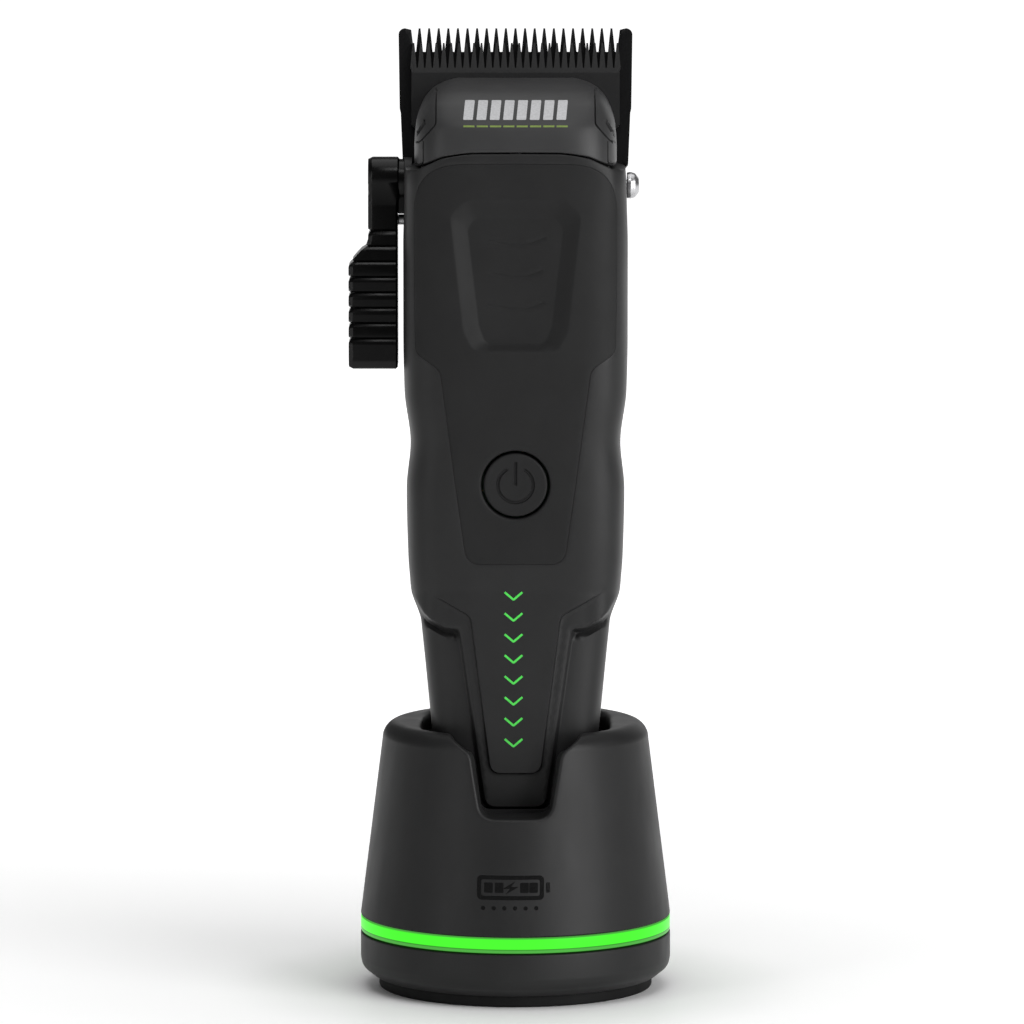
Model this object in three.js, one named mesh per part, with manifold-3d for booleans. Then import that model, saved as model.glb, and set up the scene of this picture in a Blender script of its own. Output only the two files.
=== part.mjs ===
// A cordless hair clipper standing in its charging dock, as an assembly of separate pieces.
// Millimetres, +Z up. The origin is the centre of the dock's underside. The front, with the
// power button, faces -Y. The taper lever is on the -X side.

import * as THREE from "three";
import { mergeVertices } from "three/addons/utils/BufferGeometryUtils.js";
import Module from "manifold-3d";

const wasm = await Module();
wasm.setup();

// ---------------------------------------------------------------- driving dimensions

const GAP = 0.3; // between pieces that touch on the real object
const TURN = 40; // facets round the dock
const FINE = 20; // facets round small pins and holes

// The dock, a truncated cone with a light ring near its foot.
const DOCK = {
  footRadius: 28.5,
  footTop: 2.7,
  cupBottom: 3.0,
  cupTop: 11.1,
  ringBottom: 11.4,
  ringTop: 14.85,
  shellBottom: 15.15,
  top: 53.7,
  maxRadius: 31.1,
  rimRadius: 26.6,
  wall: 2.2,
  wellFloor: 34.0,
  wellWall: 1.5,
};

// The dock's screws stand on a circle, and its charge pins beside each other under the clipper.
const DOCK_SCREW_CIRCLE = 25.2;
const DOCK_SCREW_ANGLES = [90, 210, 330];
const CHARGE_X = 5.5;
const CHARGE_Y = -3;

// Cross-sections of the clipper's body: height, half width, front face and rear face.
const BODY = [
  [38.0, 15.3, -15.0, 14.2],
  [45.0, 16.0, -15.3, 14.6],
  [56.8, 17.1, -15.5, 15.0],
  [73.0, 18.6, -15.6, 15.3],
  [77.0, 19.8, -16.6, 15.9],
  [81.5, 20.8, -17.5, 16.5],
  [88.0, 21.5, -17.9, 16.8],
  [101.0, 21.7, -18.4, 17.0],
  [110.5, 20.9, -18.8, 17.0],
  [121.0, 22.1, -19.3, 17.6],
  [132.0, 22.3, -19.8, 18.4],
  [150.0, 22.3, -20.3, 19.0],
  [157.0, 22.1, -20.2, 15.8],
  [161.0, 22.0, -20.1, 12.2],
  [163.2, 21.9, -20.0, 9.2],
  [169.2, 21.4, -19.8, 9.2],
];
const FRONT_POWER = 5; // how square the front corners are
const REAR_POWER = 3.4; // the rear corners are rounder
const SIDE_WALL = 2.0;
const FRONT_WALL = 3.6; // thicker, because the soft-touch panel is let into it
const PART_LINE_Y = 2.0; // where the front and rear housings meet
const BODY_BOTTOM = 38.0;
const END_CAP_BOTTOM = 34.3;

// The soft-touch panel's outline, right half, from the middle of its top edge downwards: x, z.
const PANEL_HALF = [
  [0, 166.7],
  [13.0, 166.4],
  [16.8, 164.2],
  [19.0, 160.8],
  [19.9, 155.5],
  [19.9, 140.0],
  [19.6, 129.4],
  [15.4, 126.2],
  [14.0, 122.8],
  [11.8, 102.4],
  [10.4, 91.3],
  [9.3, 88.2],
  [7.0, 87.2],
];
const PANEL_DEPTH = 2.0;

// The finger recess in the panel: outer outline at the surface and floor outline, right half.
const RECESS_RIM = [
  [8.8, 159.6],
  [11.3, 158.3],
  [12.7, 155.4],
  [10.4, 134.8],
  [9.1, 132.1],
  [6.4, 129.8],
];
const RECESS_FLOOR = [
  [6.6, 156.0],
  [8.6, 154.8],
  [9.3, 152.6],
  [7.2, 135.4],
  [6.4, 132.9],
  [4.9, 131.1],
];
const RECESS_DEPTH = 1.2;

// The raised tongue that runs down the front of the neck, and the lower frame round it.
const TONGUE_HALF = [
  [0, 45.4],
  [3.2, 45.4],
  [5.1, 47.4],
  [6.4, 57.4],
  [8.7, 75.3],
  [9.3, 76.8],
  [12.0, 78.5],
  [16.9, 81.4],
];
const TONGUE_FRAME_HALF = [
  [0, 38.3],
  [4.8, 38.3],
  [6.3, 40.6],
  [8.1, 52.0],
  [9.9, 66.6],
  [11.4, 74.5],
  [16.9, 79.0],
];
const TONGUE_FACE_Y = -17.1;
const TONGUE_FRAME_FACE_Y = -16.4;

// The power button.
const BUTTON = { z: 103.1, radius: 6.3, faceY: -18.4, travel: 0.8 };

// The blade set leans back. Its own frame has x across, y into the blade and z up the blade,
// with the origin at the middle of the stationary blade's heel.
const HEEL = new THREE.Vector3(0, 5.0, 164.4);
const LEAN = THREE.MathUtils.degToRad(15);
const BLADE = {
  length: 28.2,
  thickness: 1.8,
  rootZ: 23.4,
  teeth: 21,
  pitch: 1.92,
  guardInner: 20.86,
  guardOuter: 23.4,
  heelHalf: 22.5,
};
const CUTTER = {
  bottom: 5.5,
  tip: 25.05,
  root: 19.8,
  teeth: 28,
  pitch: 1.51,
  thickness: 1.8,
  clearance: 0.1,
};
const BLADE_SCREW_X = 10.5;
const BLADE_SCREW_Z = 2.6;

// The taper lever turns on a cross shaft, whose cam lifts and lowers the blade carrier.
const LEVER_AXIS = { y: -0.5, z: 162.2 };
const LEVER = {
  outer: -29.1,
  inner: -24.5,
  hubRadius: 4.05,
  gripOuter: -33.2,
  gripInner: -23.6,
  gripTop: 146.0,
  gripBottom: 124.8,
  ridgePitch: 3.07,
  ridges: 8,
};
const CROSS_SHAFT_RADIUS = 1.8;
const CAM_THROW = 3.3;
const CAM_REST = THREE.MathUtils.degToRad(20);

// The motor drives the cutter by an eccentric pin in the yoke's slot.
const MOTOR = { y: -4.0, radius: 11, bottom: 121, top: 150.3 };
const ECCENTRIC = { throw: 1.2, pinRadius: 1.2, bottom: 165.2, top: 167.4, pinTop: 173 };

// The four housing screws come in from the rear: x, z and the y of the head's outer face.
const HOUSING_SCREWS = {
  lower_left: [-13.4, 60, 11.9],
  lower_right: [13.4, 60, 11.9],
  upper_left: [-15.6, 140, 15.9],
  upper_right: [15.6, 140, 15.9],
};

const DETENT = { y: -0.5, z: 154.1, radius: 1.2, tip: -23.3 };
const SIDE_SCREW = { y: -1.5, z: 161.2, radius: 2.75, head: 24.6 };

// ---------------------------------------------------------------- materials

function material(color, roughness, metalness = 0) {
  return new THREE.MeshStandardMaterial({ color, roughness, metalness });
}

const MATTE_BLACK = material(0x2c2c2d, 0.55);
const SOFT_BLACK = material(0x232324, 0.8);
const LID_GREY = material(0x3a3a3b, 0.5);
const GLOSS_BLACK = material(0x0c0c0d, 0.2);
const BLADE_BLACK = material(0x151516, 0.3, 0.6);
const CUTTER_BLACK = material(0x333335, 0.35, 0.6);
const CHROME = material(0xd8d8da, 0.12, 1);
const STEEL = material(0x9a9b9d, 0.35, 1);
const BRASS = material(0xb99a4e, 0.35, 1);
const GREEN_LIGHT = material(0x46ff2d, 0.4);
const RUBBER = material(0x141414, 0.9);
const BOARD_GREEN = material(0x1f5a34, 0.6);
const CELL_WRAP = material(0x3e6fa8, 0.5);
const INNER_PLASTIC = material(0x4b4c4e, 0.6);

// ---------------------------------------------------------------- solids

function solidOf(geometry) {
  const bare = geometry.clone();
  bare.deleteAttribute("normal");
  bare.deleteAttribute("uv");
  const merged = mergeVertices(bare, 1e-4);
  const vertProperties = merged.attributes.position.array;
  const triVerts = new Uint32Array(merged.index.array);
  return new wasm.Manifold(new wasm.Mesh({ numProp: 3, vertProperties, triVerts }));
}

function geometryOf(solid) {
  const mesh = solid.getMesh();
  const geometry = new THREE.BufferGeometry();
  geometry.setAttribute("position", new THREE.BufferAttribute(mesh.vertProperties, 3));
  geometry.setIndex(new THREE.BufferAttribute(mesh.triVerts, 1));
  geometry.computeVertexNormals();
  return geometry;
}

// A box between two opposite corners.
function box(low, high) {
  const size = high.map((value, i) => value - low[i]);
  const centre = high.map((value, i) => (value + low[i]) / 2);
  return solidOf(new THREE.BoxGeometry(...size).translate(...centre));
}

// Round bars along each axis, between two positions on it.
function barZ(radius, z0, z1, x = 0, y = 0, facets = FINE) {
  const bar = new THREE.CylinderGeometry(radius, radius, z1 - z0, facets).rotateX(Math.PI / 2);
  return solidOf(bar.translate(x, y, (z0 + z1) / 2));
}

function barY(radius, y0, y1, x, z, facets = FINE) {
  const bar = new THREE.CylinderGeometry(radius, radius, y1 - y0, facets);
  return solidOf(bar.translate(x, (y0 + y1) / 2, z));
}

function barX(radius, x0, x1, y, z, facets = FINE) {
  const bar = new THREE.CylinderGeometry(radius, radius, x1 - x0, facets).rotateZ(Math.PI / 2);
  return solidOf(bar.translate((x0 + x1) / 2, y, z));
}

// A ring or disc turned about Z from a profile of [radius, z] points listed upwards.
function turned(profile, facets = TURN) {
  const points = profile.map(([radius, z]) => new THREE.Vector2(radius, z));
  return solidOf(new THREE.LatheGeometry(points, facets).rotateX(Math.PI / 2));
}

function shapeOf(points) {
  return new THREE.Shape(points.map(([a, b]) => new THREE.Vector2(a, b)));
}

function extruded(points, depth) {
  return new THREE.ExtrudeGeometry(shapeOf(points), { depth, bevelEnabled: false, steps: 1 });
}

// A plate with an x-z outline, between two y positions.
function plateXZ(points, y0, y1) {
  return solidOf(extruded(points, y1 - y0).rotateX(Math.PI / 2).translate(0, y1, 0));
}

// A plate with a y-z outline, between two x positions.
function plateYZ(points, x0, x1) {
  const toYZ = new THREE.Matrix4().makeBasis(
    new THREE.Vector3(0, 1, 0),
    new THREE.Vector3(0, 0, 1),
    new THREE.Vector3(1, 0, 0),
  );
  return solidOf(extruded(points, x1 - x0).applyMatrix4(toYZ).translate(x0, 0, 0));
}

// A right half outline and its mirror image, as one closed outline.
function mirrored(half) {
  const left = half.filter(([x]) => x !== 0).map(([x, z]) => [-x, z]);
  return [...half, ...left.reverse()];
}

// An outline moved outwards by a distance, or inwards by a negative one.
function offsetOutline(points, distance) {
  const closed = points.map(([x, z]) => new THREE.Vector2(x, z));
  const sign = THREE.ShapeUtils.area(closed) > 0 ? 1 : -1;
  return closed.map((here, i) => {
    const before = closed[(i + closed.length - 1) % closed.length];
    const after = closed[(i + 1) % closed.length];
    const inwards = here.clone().sub(before).normalize();
    const outwards = after.clone().sub(here).normalize();
    const normal = new THREE.Vector2(inwards.y + outwards.y, -inwards.x - outwards.x);
    normal.normalize().multiplyScalar(sign);
    const edge = new THREE.Vector2(outwards.y, -outwards.x).multiplyScalar(sign);
    const reach = distance / Math.max(normal.dot(edge), 0.5);
    return [here.x + normal.x * reach, here.y + normal.y * reach];
  });
}

// A closed skin over a stack of rings with the same number of points, listed upwards.
function loft(rings) {
  const count = rings[0].length;
  const points = rings.flat();
  const index = [];
  for (let level = 0; level < rings.length - 1; level++) {
    for (let i = 0; i < count; i++) {
      const a = level * count + i;
      const b = level * count + ((i + 1) % count);
      index.push(a, b, b + count, a, b + count, a + count);
    }
  }
  for (const [level, flip] of [[0, true], [rings.length - 1, false]]) {
    const middle = rings[level].reduce((sum, p) => sum.add(p), new THREE.Vector3());
    points.push(middle.divideScalar(count));
    for (let i = 0; i < count; i++) {
      const a = level * count + i;
      const b = level * count + ((i + 1) % count);
      index.push(...(flip ? [b, a, points.length - 1] : [a, b, points.length - 1]));
    }
  }
  const geometry = new THREE.BufferGeometry().setFromPoints(points);
  geometry.setIndex(index);
  return solidOf(geometry);
}

// A rounded section at one height, squarer in front than behind.
function section(z, half, front, rear, count = 28) {
  const middle = (front + rear) / 2;
  const ring = [];
  for (let i = 0; i < count; i++) {
    const angle = (2 * Math.PI * (i + 0.5)) / count;
    const c = Math.cos(angle);
    const s = Math.sin(angle);
    const power = 2 / (s < 0 ? FRONT_POWER : REAR_POWER);
    const x = half * Math.sign(c) * Math.abs(c) ** power;
    const y = middle + ((rear - front) / 2) * Math.sign(s) * Math.abs(s) ** power;
    ring.push(new THREE.Vector3(x, y, z));
  }
  return ring;
}

// The body's form drawn in by a side and a front distance, between two heights.
function bodyForm(side, front, bottom = -Infinity, top = Infinity) {
  const rows = BODY.filter(([z]) => z > bottom && z < top);
  for (const z of [bottom, top]) {
    if (Number.isFinite(z)) rows.push(bodyRow(z));
  }
  rows.sort((a, b) => a[0] - b[0]);
  return loft(rows.map(([z, half, y0, y1]) => section(z, half - side, y0 + front, y1 - side)));
}

// The body's section values at any height, continued straight past its ends.
function bodyRow(z) {
  let i = BODY.findIndex((row) => row[0] > z);
  if (i < 0) i = BODY.length - 1;
  i = Math.max(i, 1);
  const [below, above] = [BODY[i - 1], BODY[i]];
  const t = THREE.MathUtils.clamp((z - below[0]) / (above[0] - below[0]), 0, 1);
  return [z, ...[1, 2, 3].map((k) => below[k] + t * (above[k] - below[k]))];
}

// A closed coil of round wire about Z.
function coilZ(meanRadius, wireRadius, z0, z1, turns) {
  const steps = turns * 7;
  const path = [];
  for (let i = 0; i <= steps; i++) {
    const angle = (2 * Math.PI * turns * i) / steps;
    const z = z0 + wireRadius + ((z1 - z0 - 2 * wireRadius) * i) / steps;
    path.push(new THREE.Vector3(meanRadius * Math.cos(angle), meanRadius * Math.sin(angle), z));
  }
  return wire(path, wireRadius, steps, 4);
}

// Round wire along a smooth curve through the given points.
function wire(path, radius, steps, facets) {
  const curve = new THREE.CatmullRomCurve3(path);
  const rim = [];
  for (let i = 0; i < facets; i++) {
    const angle = (2 * Math.PI * i) / facets;
    rim.push([radius * Math.cos(angle), radius * Math.sin(angle)]);
  }
  const options = { steps, extrudePath: curve, bevelEnabled: false };
  return solidOf(new THREE.ExtrudeGeometry(shapeOf(rim), options));
}

// ---------------------------------------------------------------- scene graph

const clipperInDock = new THREE.Group();
const head = new THREE.Group();
head.position.copy(HEEL);
head.rotation.x = -LEAN;
clipperInDock.add(head);

function add(name, solid, look, group = clipperInDock) {
  const mesh = new THREE.Mesh(geometryOf(solid), look);
  mesh.name = name;
  group.add(mesh);
}

// The y position, at a height, of a plane parallel to the blades at a head-frame depth.
function leanY(z, depth) {
  return HEEL.y + (z - HEEL.z) * Math.tan(LEAN) + depth / Math.cos(LEAN);
}

// ---------------------------------------------------------------- dock

const circlePoint = (radius, degrees) => {
  const angle = THREE.MathUtils.degToRad(degrees);
  return [radius * Math.cos(angle), radius * Math.sin(angle)];
};

// The dock's outer form, drawn in by a distance.
function dockForm(inset, bottom, top) {
  const slope = (DOCK.maxRadius - DOCK.rimRadius) / (50.6 - DOCK.shellBottom);
  const radiusAt = (z) => DOCK.maxRadius - Math.max(z - DOCK.shellBottom, 0) * slope - inset;
  const rim = [
    [0, 0],
    [-0.4, 1.4],
    [-1.3, 2.4],
    [-3.0, 3.1],
  ];
  const start = top - 3.1;
  const shoulder = rim.map(([dr, dz]) => [radiusAt(start) + dr, start + dz]);
  return turned([[0, bottom], [radiusAt(bottom), bottom], ...shoulder, [0, top]]);
}

// The well's rounded pocket, which takes the clipper's lower end.
function wellForm(grow, bottom, top) {
  const low = section(bottom, 16.8 + grow, -17.0 - grow, 16.2 + grow);
  const high = section(top, 18.6 + grow, -17.7 - grow, 17.5 + grow);
  return loft([low, high]);
}

// The notch in the dock's front wall, from the floor of its throat to its flared mouth.
const NOTCH = mirrored([
  [0, 37.8],
  [5.2, 37.8],
  [7.4, 39.1],
  [8.2, 41.6],
  [8.7, 49.0],
  [14.4, 54.6],
  [14.4, 60.0],
  [0, 60.0],
]);

function dockShell() {
  const { wall, shellBottom, top } = DOCK;
  let shell = dockForm(0, shellBottom, top);
  shell = shell.subtract(dockForm(wall, shellBottom - 1, top - wall));
  for (const degrees of DOCK_SCREW_ANGLES) {
    const [x, y] = circlePoint(DOCK_SCREW_CIRCLE, degrees);
    shell = shell.add(barZ(2.8, shellBottom, 28, x, y, 12));
    const rib = box([DOCK_SCREW_CIRCLE, -1.2, shellBottom], [29.3, 1.2, 28]);
    shell = shell.add(rib.rotate([0, 0, degrees]));
    shell = shell.subtract(barZ(1.3, shellBottom - 1, 25, x, y, 12));
  }
  shell = shell.subtract(wellForm(DOCK.wellWall + GAP, DOCK.wellFloor - 3, top + 1));
  return shell.subtract(plateXZ(NOTCH, -40, -8));
}

function dockWell() {
  const { wellWall, wellFloor, top, wall } = DOCK;
  let well = wellForm(wellWall, wellFloor - 1.6, top);
  const throat = plateXZ(offsetOutline(NOTCH, 1.5), -40, -15);
  const inside = dockForm(wall + GAP, 30, top - wall - GAP);
  well = well.add(throat.intersect(inside));
  well = well.subtract(wellForm(0, wellFloor, top + 1));
  well = well.subtract(plateXZ(NOTCH, -40, -8));
  for (const x of [-CHARGE_X, CHARGE_X]) {
    well = well.subtract(barZ(1.3, wellFloor - 3, wellFloor + 1, x, CHARGE_Y, 12));
  }
  return well;
}

function dockBaseCup() {
  const { cupBottom, cupTop, maxRadius } = DOCK;
  const inner = maxRadius - 2;
  let cup = turned([
    [0, cupBottom],
    [29.3, cupBottom],
    [maxRadius, cupBottom + 2.4],
    [maxRadius, cupTop],
    [inner, cupTop],
    [inner, cupBottom + 2],
    [0, cupBottom + 2],
  ]);
  for (const degrees of DOCK_SCREW_ANGLES) {
    const [x, y] = circlePoint(DOCK_SCREW_CIRCLE, degrees);
    cup = cup.add(barZ(3.5, cupBottom + 1, cupTop, x, y, 12));
    cup = cup.subtract(barZ(2.6, cupBottom - 1, cupBottom + 2.0, x, y, 12));
    cup = cup.subtract(barZ(1.5, cupBottom, cupTop + 1, x, y, 12));
  }
  return cup.subtract(box([-4.7, 21, 6.2], [4.7, 40, 9.8]).translate([9, 0, 0]));
}

function dockScrew(degrees) {
  const [x, y] = circlePoint(DOCK_SCREW_CIRCLE, degrees);
  const { cupBottom } = DOCK;
  return barZ(2.3, cupBottom + 0.2, cupBottom + 1.7, x, y, 12).add(
    barZ(1.1, cupBottom + 1, 23, x, y, 10),
  );
}

function buildDock() {
  const { footRadius, footTop, cupBottom, maxRadius, ringBottom, ringTop } = DOCK;
  add("foot_pad", turned([[0, 0], [footRadius, 0], [footRadius, footTop], [0, footTop]]), RUBBER);
  add("dock_base_cup", dockBaseCup(), MATTE_BLACK);
  const ring = turned([
    [footRadius, ringBottom],
    [maxRadius, ringBottom],
    [maxRadius, ringTop],
    [footRadius, ringTop],
    [footRadius, ringBottom],
  ]);
  add("light_ring", ring, GREEN_LIGHT);
  add("dock_shell", dockShell(), MATTE_BLACK);
  add("dock_well", dockWell(), MATTE_BLACK);

  add("dock_ballast", barZ(19.5, cupBottom + 2.3, 9.3, 0, 0, 24), STEEL);
  add("dock_circuit_board", barZ(21.0, 11.8, 13.3, 0, 0, 24), BOARD_GREEN);
  const ledCount = 4;
  for (let i = 0; i < ledCount; i++) {
    const led = box([17.5, -1.4, 13.6], [20.5, 1.4, 14.8]);
    add(`ring_led_${i + 1}`, led.rotate([0, 0, 45 + (360 * i) / ledCount]), GREEN_LIGHT);
  }
  add("dock_power_socket", box([4.6, 20.5, 6.5], [13.4, 28.2, 9.5]), STEEL);

  let block = box([-9, -7, 20.5], [9, 1, 32.1]);
  for (const x of [-CHARGE_X, CHARGE_X]) {
    block = block.subtract(barZ(1.4, 22.3, 40, x, CHARGE_Y, 12));
  }
  add("charge_pin_block", block, INNER_PLASTIC);
  for (const [side, x] of [["left", -CHARGE_X], ["right", CHARGE_X]]) {
    add(`charge_pin_${side}`, barZ(0.95, 27.2, 35.2, x, CHARGE_Y, 12), BRASS);
    const spring = coilZ(0.85, 0.2, 22.6, 26.9, 4).translate([x, CHARGE_Y, 0]);
    add(`charge_pin_spring_${side}`, spring, STEEL);
  }
  DOCK_SCREW_ANGLES.forEach((degrees, i) => {
    add(`dock_screw_${i + 1}`, dockScrew(degrees), STEEL);
  });
}

// ---------------------------------------------------------------- clipper housings

// The cap's lower edge in front, which arches over the head: x, z.
const CAP_EDGE = [
  [-19.4, 165.7],
  [-17.0, 166.8],
  [-14.0, 168.0],
  [-8.0, 168.8],
  [8.0, 168.8],
  [14.0, 168.0],
  [17.0, 166.8],
  [19.4, 165.7],
];

function aboveCapEdge(lower) {
  const edge = CAP_EDGE.map(([x, z]) => [x, z - lower]);
  const side = 165.7 - lower;
  return plateXZ([[-30, side], ...edge, [30, side], [30, 190], [-30, 190]], -30, 20);
}

// Room for the blade, its screws and its travel, cut out of the rear housing's top.
function bladeRoom() {
  const room = [
    [-30.0, 161.4],
    [9.4, 161.4],
    [11.6, 170.0],
    [11.6, 180.0],
    [-30.0, 180.0],
  ];
  return plateYZ(room, -30, 30);
}

// Everything behind the front housing: the part line, then the stationary blade's front face.
function behindPartLine(forward) {
  const line = [
    [PART_LINE_Y, 0],
    [PART_LINE_Y, 157.0],
    [leanY(161.0, -0.45), 161.0],
    [leanY(175.0, -0.45), 175.0],
  ].map(([y, z]) => [y - forward, z]);
  return plateYZ([...line, [60, 175.0], [60, 0]], -40, 40);
}

function screwBosses(y0, y1) {
  const posts = Object.values(HOUSING_SCREWS).map(([x, z]) => barY(2.6, y0, y1, x, z, 12));
  return posts.reduce((all, post) => all.add(post));
}

function screwHoles(radius, y0, y1) {
  const holes = Object.values(HOUSING_SCREWS).map(([x, z]) => barY(radius, y0, y1, x, z, 12));
  return holes.reduce((all, hole) => all.add(hole));
}

// The tongue and its frame stand forward of the neck, inside the body's shoulder.
function tongue() {
  const top = [[16.9, 84.0], [0, 84.0]];
  const face = plateXZ(mirrored([...TONGUE_HALF, ...top]), TONGUE_FACE_Y, -12.6);
  const frame = plateXZ(mirrored([...TONGUE_FRAME_HALF, ...top]), TONGUE_FRAME_FACE_Y, -12.6);
  return face.add(frame);
}

function panelOutline() {
  const half = [...PANEL_HALF];
  return mirrored([...half, [0, 87.2]]);
}

function frontHousing() {
  const inner = bodyForm(SIDE_WALL, FRONT_WALL, BODY_BOTTOM - 2, 172);
  let shell = bodyForm(0, 0);
  shell = shell.add(tongue());
  shell = shell.subtract(inner);
  shell = shell.add(screwBosses(-16.5, PART_LINE_Y + 6).intersect(bodyForm(0.5, 2.8)));
  shell = shell.subtract(behindPartLine(0));
  shell = shell.subtract(aboveCapEdge(0.15));

  const pocketFloor = bodyForm(PANEL_DEPTH + GAP, PANEL_DEPTH + GAP, 80, 172);
  const pocket = plateXZ(offsetOutline(panelOutline(), GAP), -40, -9).subtract(pocketFloor);
  shell = shell.subtract(pocket);
  shell = shell.subtract(barY(BUTTON.radius + GAP, -30, -10, 0, BUTTON.z, 28));
  shell = shell.subtract(screwHoles(1.1, -14.5, 30));
  const { y, z } = LEVER_AXIS;
  shell = shell.subtract(barX(CROSS_SHAFT_RADIUS + 0.5, -30, -15, y, z, 16));
  shell = shell.subtract(barX(DETENT.radius + GAP, -30, -15, DETENT.y, DETENT.z, 16));
  return shell.subtract(barX(1.5, 15, 30, SIDE_SCREW.y, SIDE_SCREW.z, 16));
}

function rearHousing() {
  const top = 163.2;
  let shell = bodyForm(0, 0, BODY_BOTTOM, top);
  shell = shell.subtract(bodyForm(SIDE_WALL, FRONT_WALL, BODY_BOTTOM - 2, top + 2));
  shell = shell.add(screwBosses(PART_LINE_Y + GAP, 17).intersect(bodyForm(0.5, 2.8, 40, 160)));
  shell = shell.intersect(behindPartLine(-GAP));
  shell = shell.subtract(bladeRoom());
  shell = shell.subtract(screwHoles(1.4, 0, 30));
  for (const [x, z, faceY] of Object.values(HOUSING_SCREWS)) {
    shell = shell.subtract(barY(2.5, faceY - 1.6, 30, x, z, 12));
  }
  return shell;
}

function housingScrew([x, z, faceY]) {
  return barY(2.2, faceY - 1.3, faceY, x, z, 12).add(barY(1.0, -9, faceY - 1, x, z, 10));
}

function softTouchPanel() {
  const floor = bodyForm(PANEL_DEPTH, PANEL_DEPTH, 80, 172);
  let panel = plateXZ(panelOutline(), -40, -9.3).intersect(bodyForm(0, 0, 80, 169));
  panel = panel.subtract(floor);
  const rim = mirrored(RECESS_RIM);
  const bottom = mirrored(RECESS_FLOOR);
  const surfaceY = -20.3;
  const ringAt = (points, y) => points.map(([x, z]) => new THREE.Vector3(x, y, z));
  const dish = loft([
    ringAt(rim, surfaceY - 3),
    ringAt(rim, surfaceY + 0.25),
    ringAt(bottom, surfaceY + RECESS_DEPTH),
  ]);
  panel = panel.subtract(dish);
  return panel.subtract(barY(BUTTON.radius + GAP, -30, -10, 0, BUTTON.z, 28));
}

// ---------------------------------------------------------------- head cap

// Sections of the head cap: height, half width and front face.
const CAP = [
  [165.0, 20.1, -19.8],
  [169.0, 20.1, -19.5],
  [173.5, 19.8, -18.5],
  [177.5, 18.5, -15.4],
  [180.0, 16.0, -11.0],
  [181.4, 13.0, -5.5],
  [181.9, 10.5, -1.0],
];

const CUTTER_FACE = -(CUTTER.clearance + CUTTER.thickness);

// A cap section: rounded corners in front and a straight rear edge along the cutter.
function capSection(z, half, front, rear) {
  const ring = [];
  const count = 20;
  for (let i = 0; i <= count; i++) {
    const angle = Math.PI + (Math.PI * i) / count;
    const c = Math.cos(angle);
    const s = Math.sin(angle);
    const x = half * Math.sign(c) * Math.abs(c) ** (2 / FRONT_POWER);
    const y = rear + (rear - front) * Math.sign(s) * Math.abs(s) ** (2 / FRONT_POWER);
    ring.push(new THREE.Vector3(x, y, z));
  }
  return ring;
}

function capForm(inset, rearGap) {
  const rows = CAP.map(([z, half, front], i) => {
    const drop = inset * (i < 3 ? 0 : 1);
    return [z - drop, half - inset, front + inset, leanY(z - drop, CUTTER_FACE) - rearGap];
  });
  return loft(rows.map((row) => capSection(...row)));
}

function headCap() {
  const inner = capForm(1.6, -1);
  const below = capForm(1.6, -1).translate([0, 0, -3]);
  let cap = capForm(0, 0.7).subtract(inner).subtract(below);
  cap = cap.intersect(aboveCapEdge(-0.15));
  for (const side of [-1, 1]) {
    const slot = box([17.2, -8, 172.0], [21, -2, 173.2]);
    cap = cap.subtract(side < 0 ? slot.mirror([1, 0, 0]) : slot);
  }
  return cap;
}

// A springy latch inside each side of the cap, whose nose shows in the cap's slot.
function capClip(side) {
  const strip = box([16.5, -7.6, 158], [17.4, -2.4, 173.0]);
  const nose = box([16.5, -7.4, 172.3], [19.5, -2.6, 172.9]);
  const clip = strip.add(nose);
  return side < 0 ? clip.mirror([1, 0, 0]) : clip;
}

// ---------------------------------------------------------------- blades

// A comb edge: teeth with flat tips between two x positions, listed from left to right.
function combEdge(teeth, pitch, root, tip, rootHalf, tipHalf) {
  const points = [];
  for (let i = 0; i < teeth; i++) {
    const x = (i - (teeth - 1) / 2) * pitch;
    points.push([x - rootHalf, root], [x - tipHalf, tip], [x + tipHalf, tip], [x + rootHalf, root]);
  }
  return points;
}

function stationaryBlade() {
  const { length, thickness, rootZ, teeth, pitch, guardInner, guardOuter, heelHalf } = BLADE;
  const corner = 2;
  const arc = [0, 30, 60, 90].map((degrees) => {
    const [dx, dz] = circlePoint(corner, degrees);
    return [guardOuter - corner + dx, length - corner + dz];
  });
  const right = [
    [guardInner - 0.55, rootZ],
    [guardInner, length - 0.4],
    ...arc.reverse(),
    [guardOuter - 0.25, 12],
    [guardOuter - 0.45, 11.2],
    [heelHalf, 0],
  ];
  const left = right.map(([x, z]) => [-x, z]).reverse();
  const comb = combEdge(teeth, pitch, rootZ, length, 0.66, 0.14);
  let blade = plateXZ([...left, ...comb, ...right], 0, thickness);
  for (const x of [-BLADE_SCREW_X, BLADE_SCREW_X]) {
    blade = blade.subtract(barY(1.5, -1, 4, x, BLADE_SCREW_Z, 12));
  }
  return blade;
}

function cutterBlade() {
  const { bottom, tip, root, teeth, pitch, thickness, clearance } = CUTTER;
  const comb = combEdge(teeth, pitch, root, tip, 0.62, 0.16);
  const half = (teeth * pitch) / 2 - 0.35;
  const outline = [[-half, root - 0.4], ...comb, [half, root - 0.4]];
  outline.push([half, 13], [14.5, bottom], [-14.5, bottom], [-half, 13]);
  return plateXZ(outline, -clearance - thickness, -clearance);
}

function bladeCarrier() {
  let carrier = box([-14.1, -2.0, -7.0], [14.1, -GAP, 5.0]);
  for (const x of [-BLADE_SCREW_X, BLADE_SCREW_X]) {
    carrier = carrier.add(barY(2.2, -4.5, -1.0, x, BLADE_SCREW_Z, 12));
    carrier = carrier.subtract(barY(1.3, -6, 2, x, BLADE_SCREW_Z, 12));
  }
  return carrier.subtract(box([-3.2, -4, -4.5], [3.2, 2, -0.5]));
}

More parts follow.
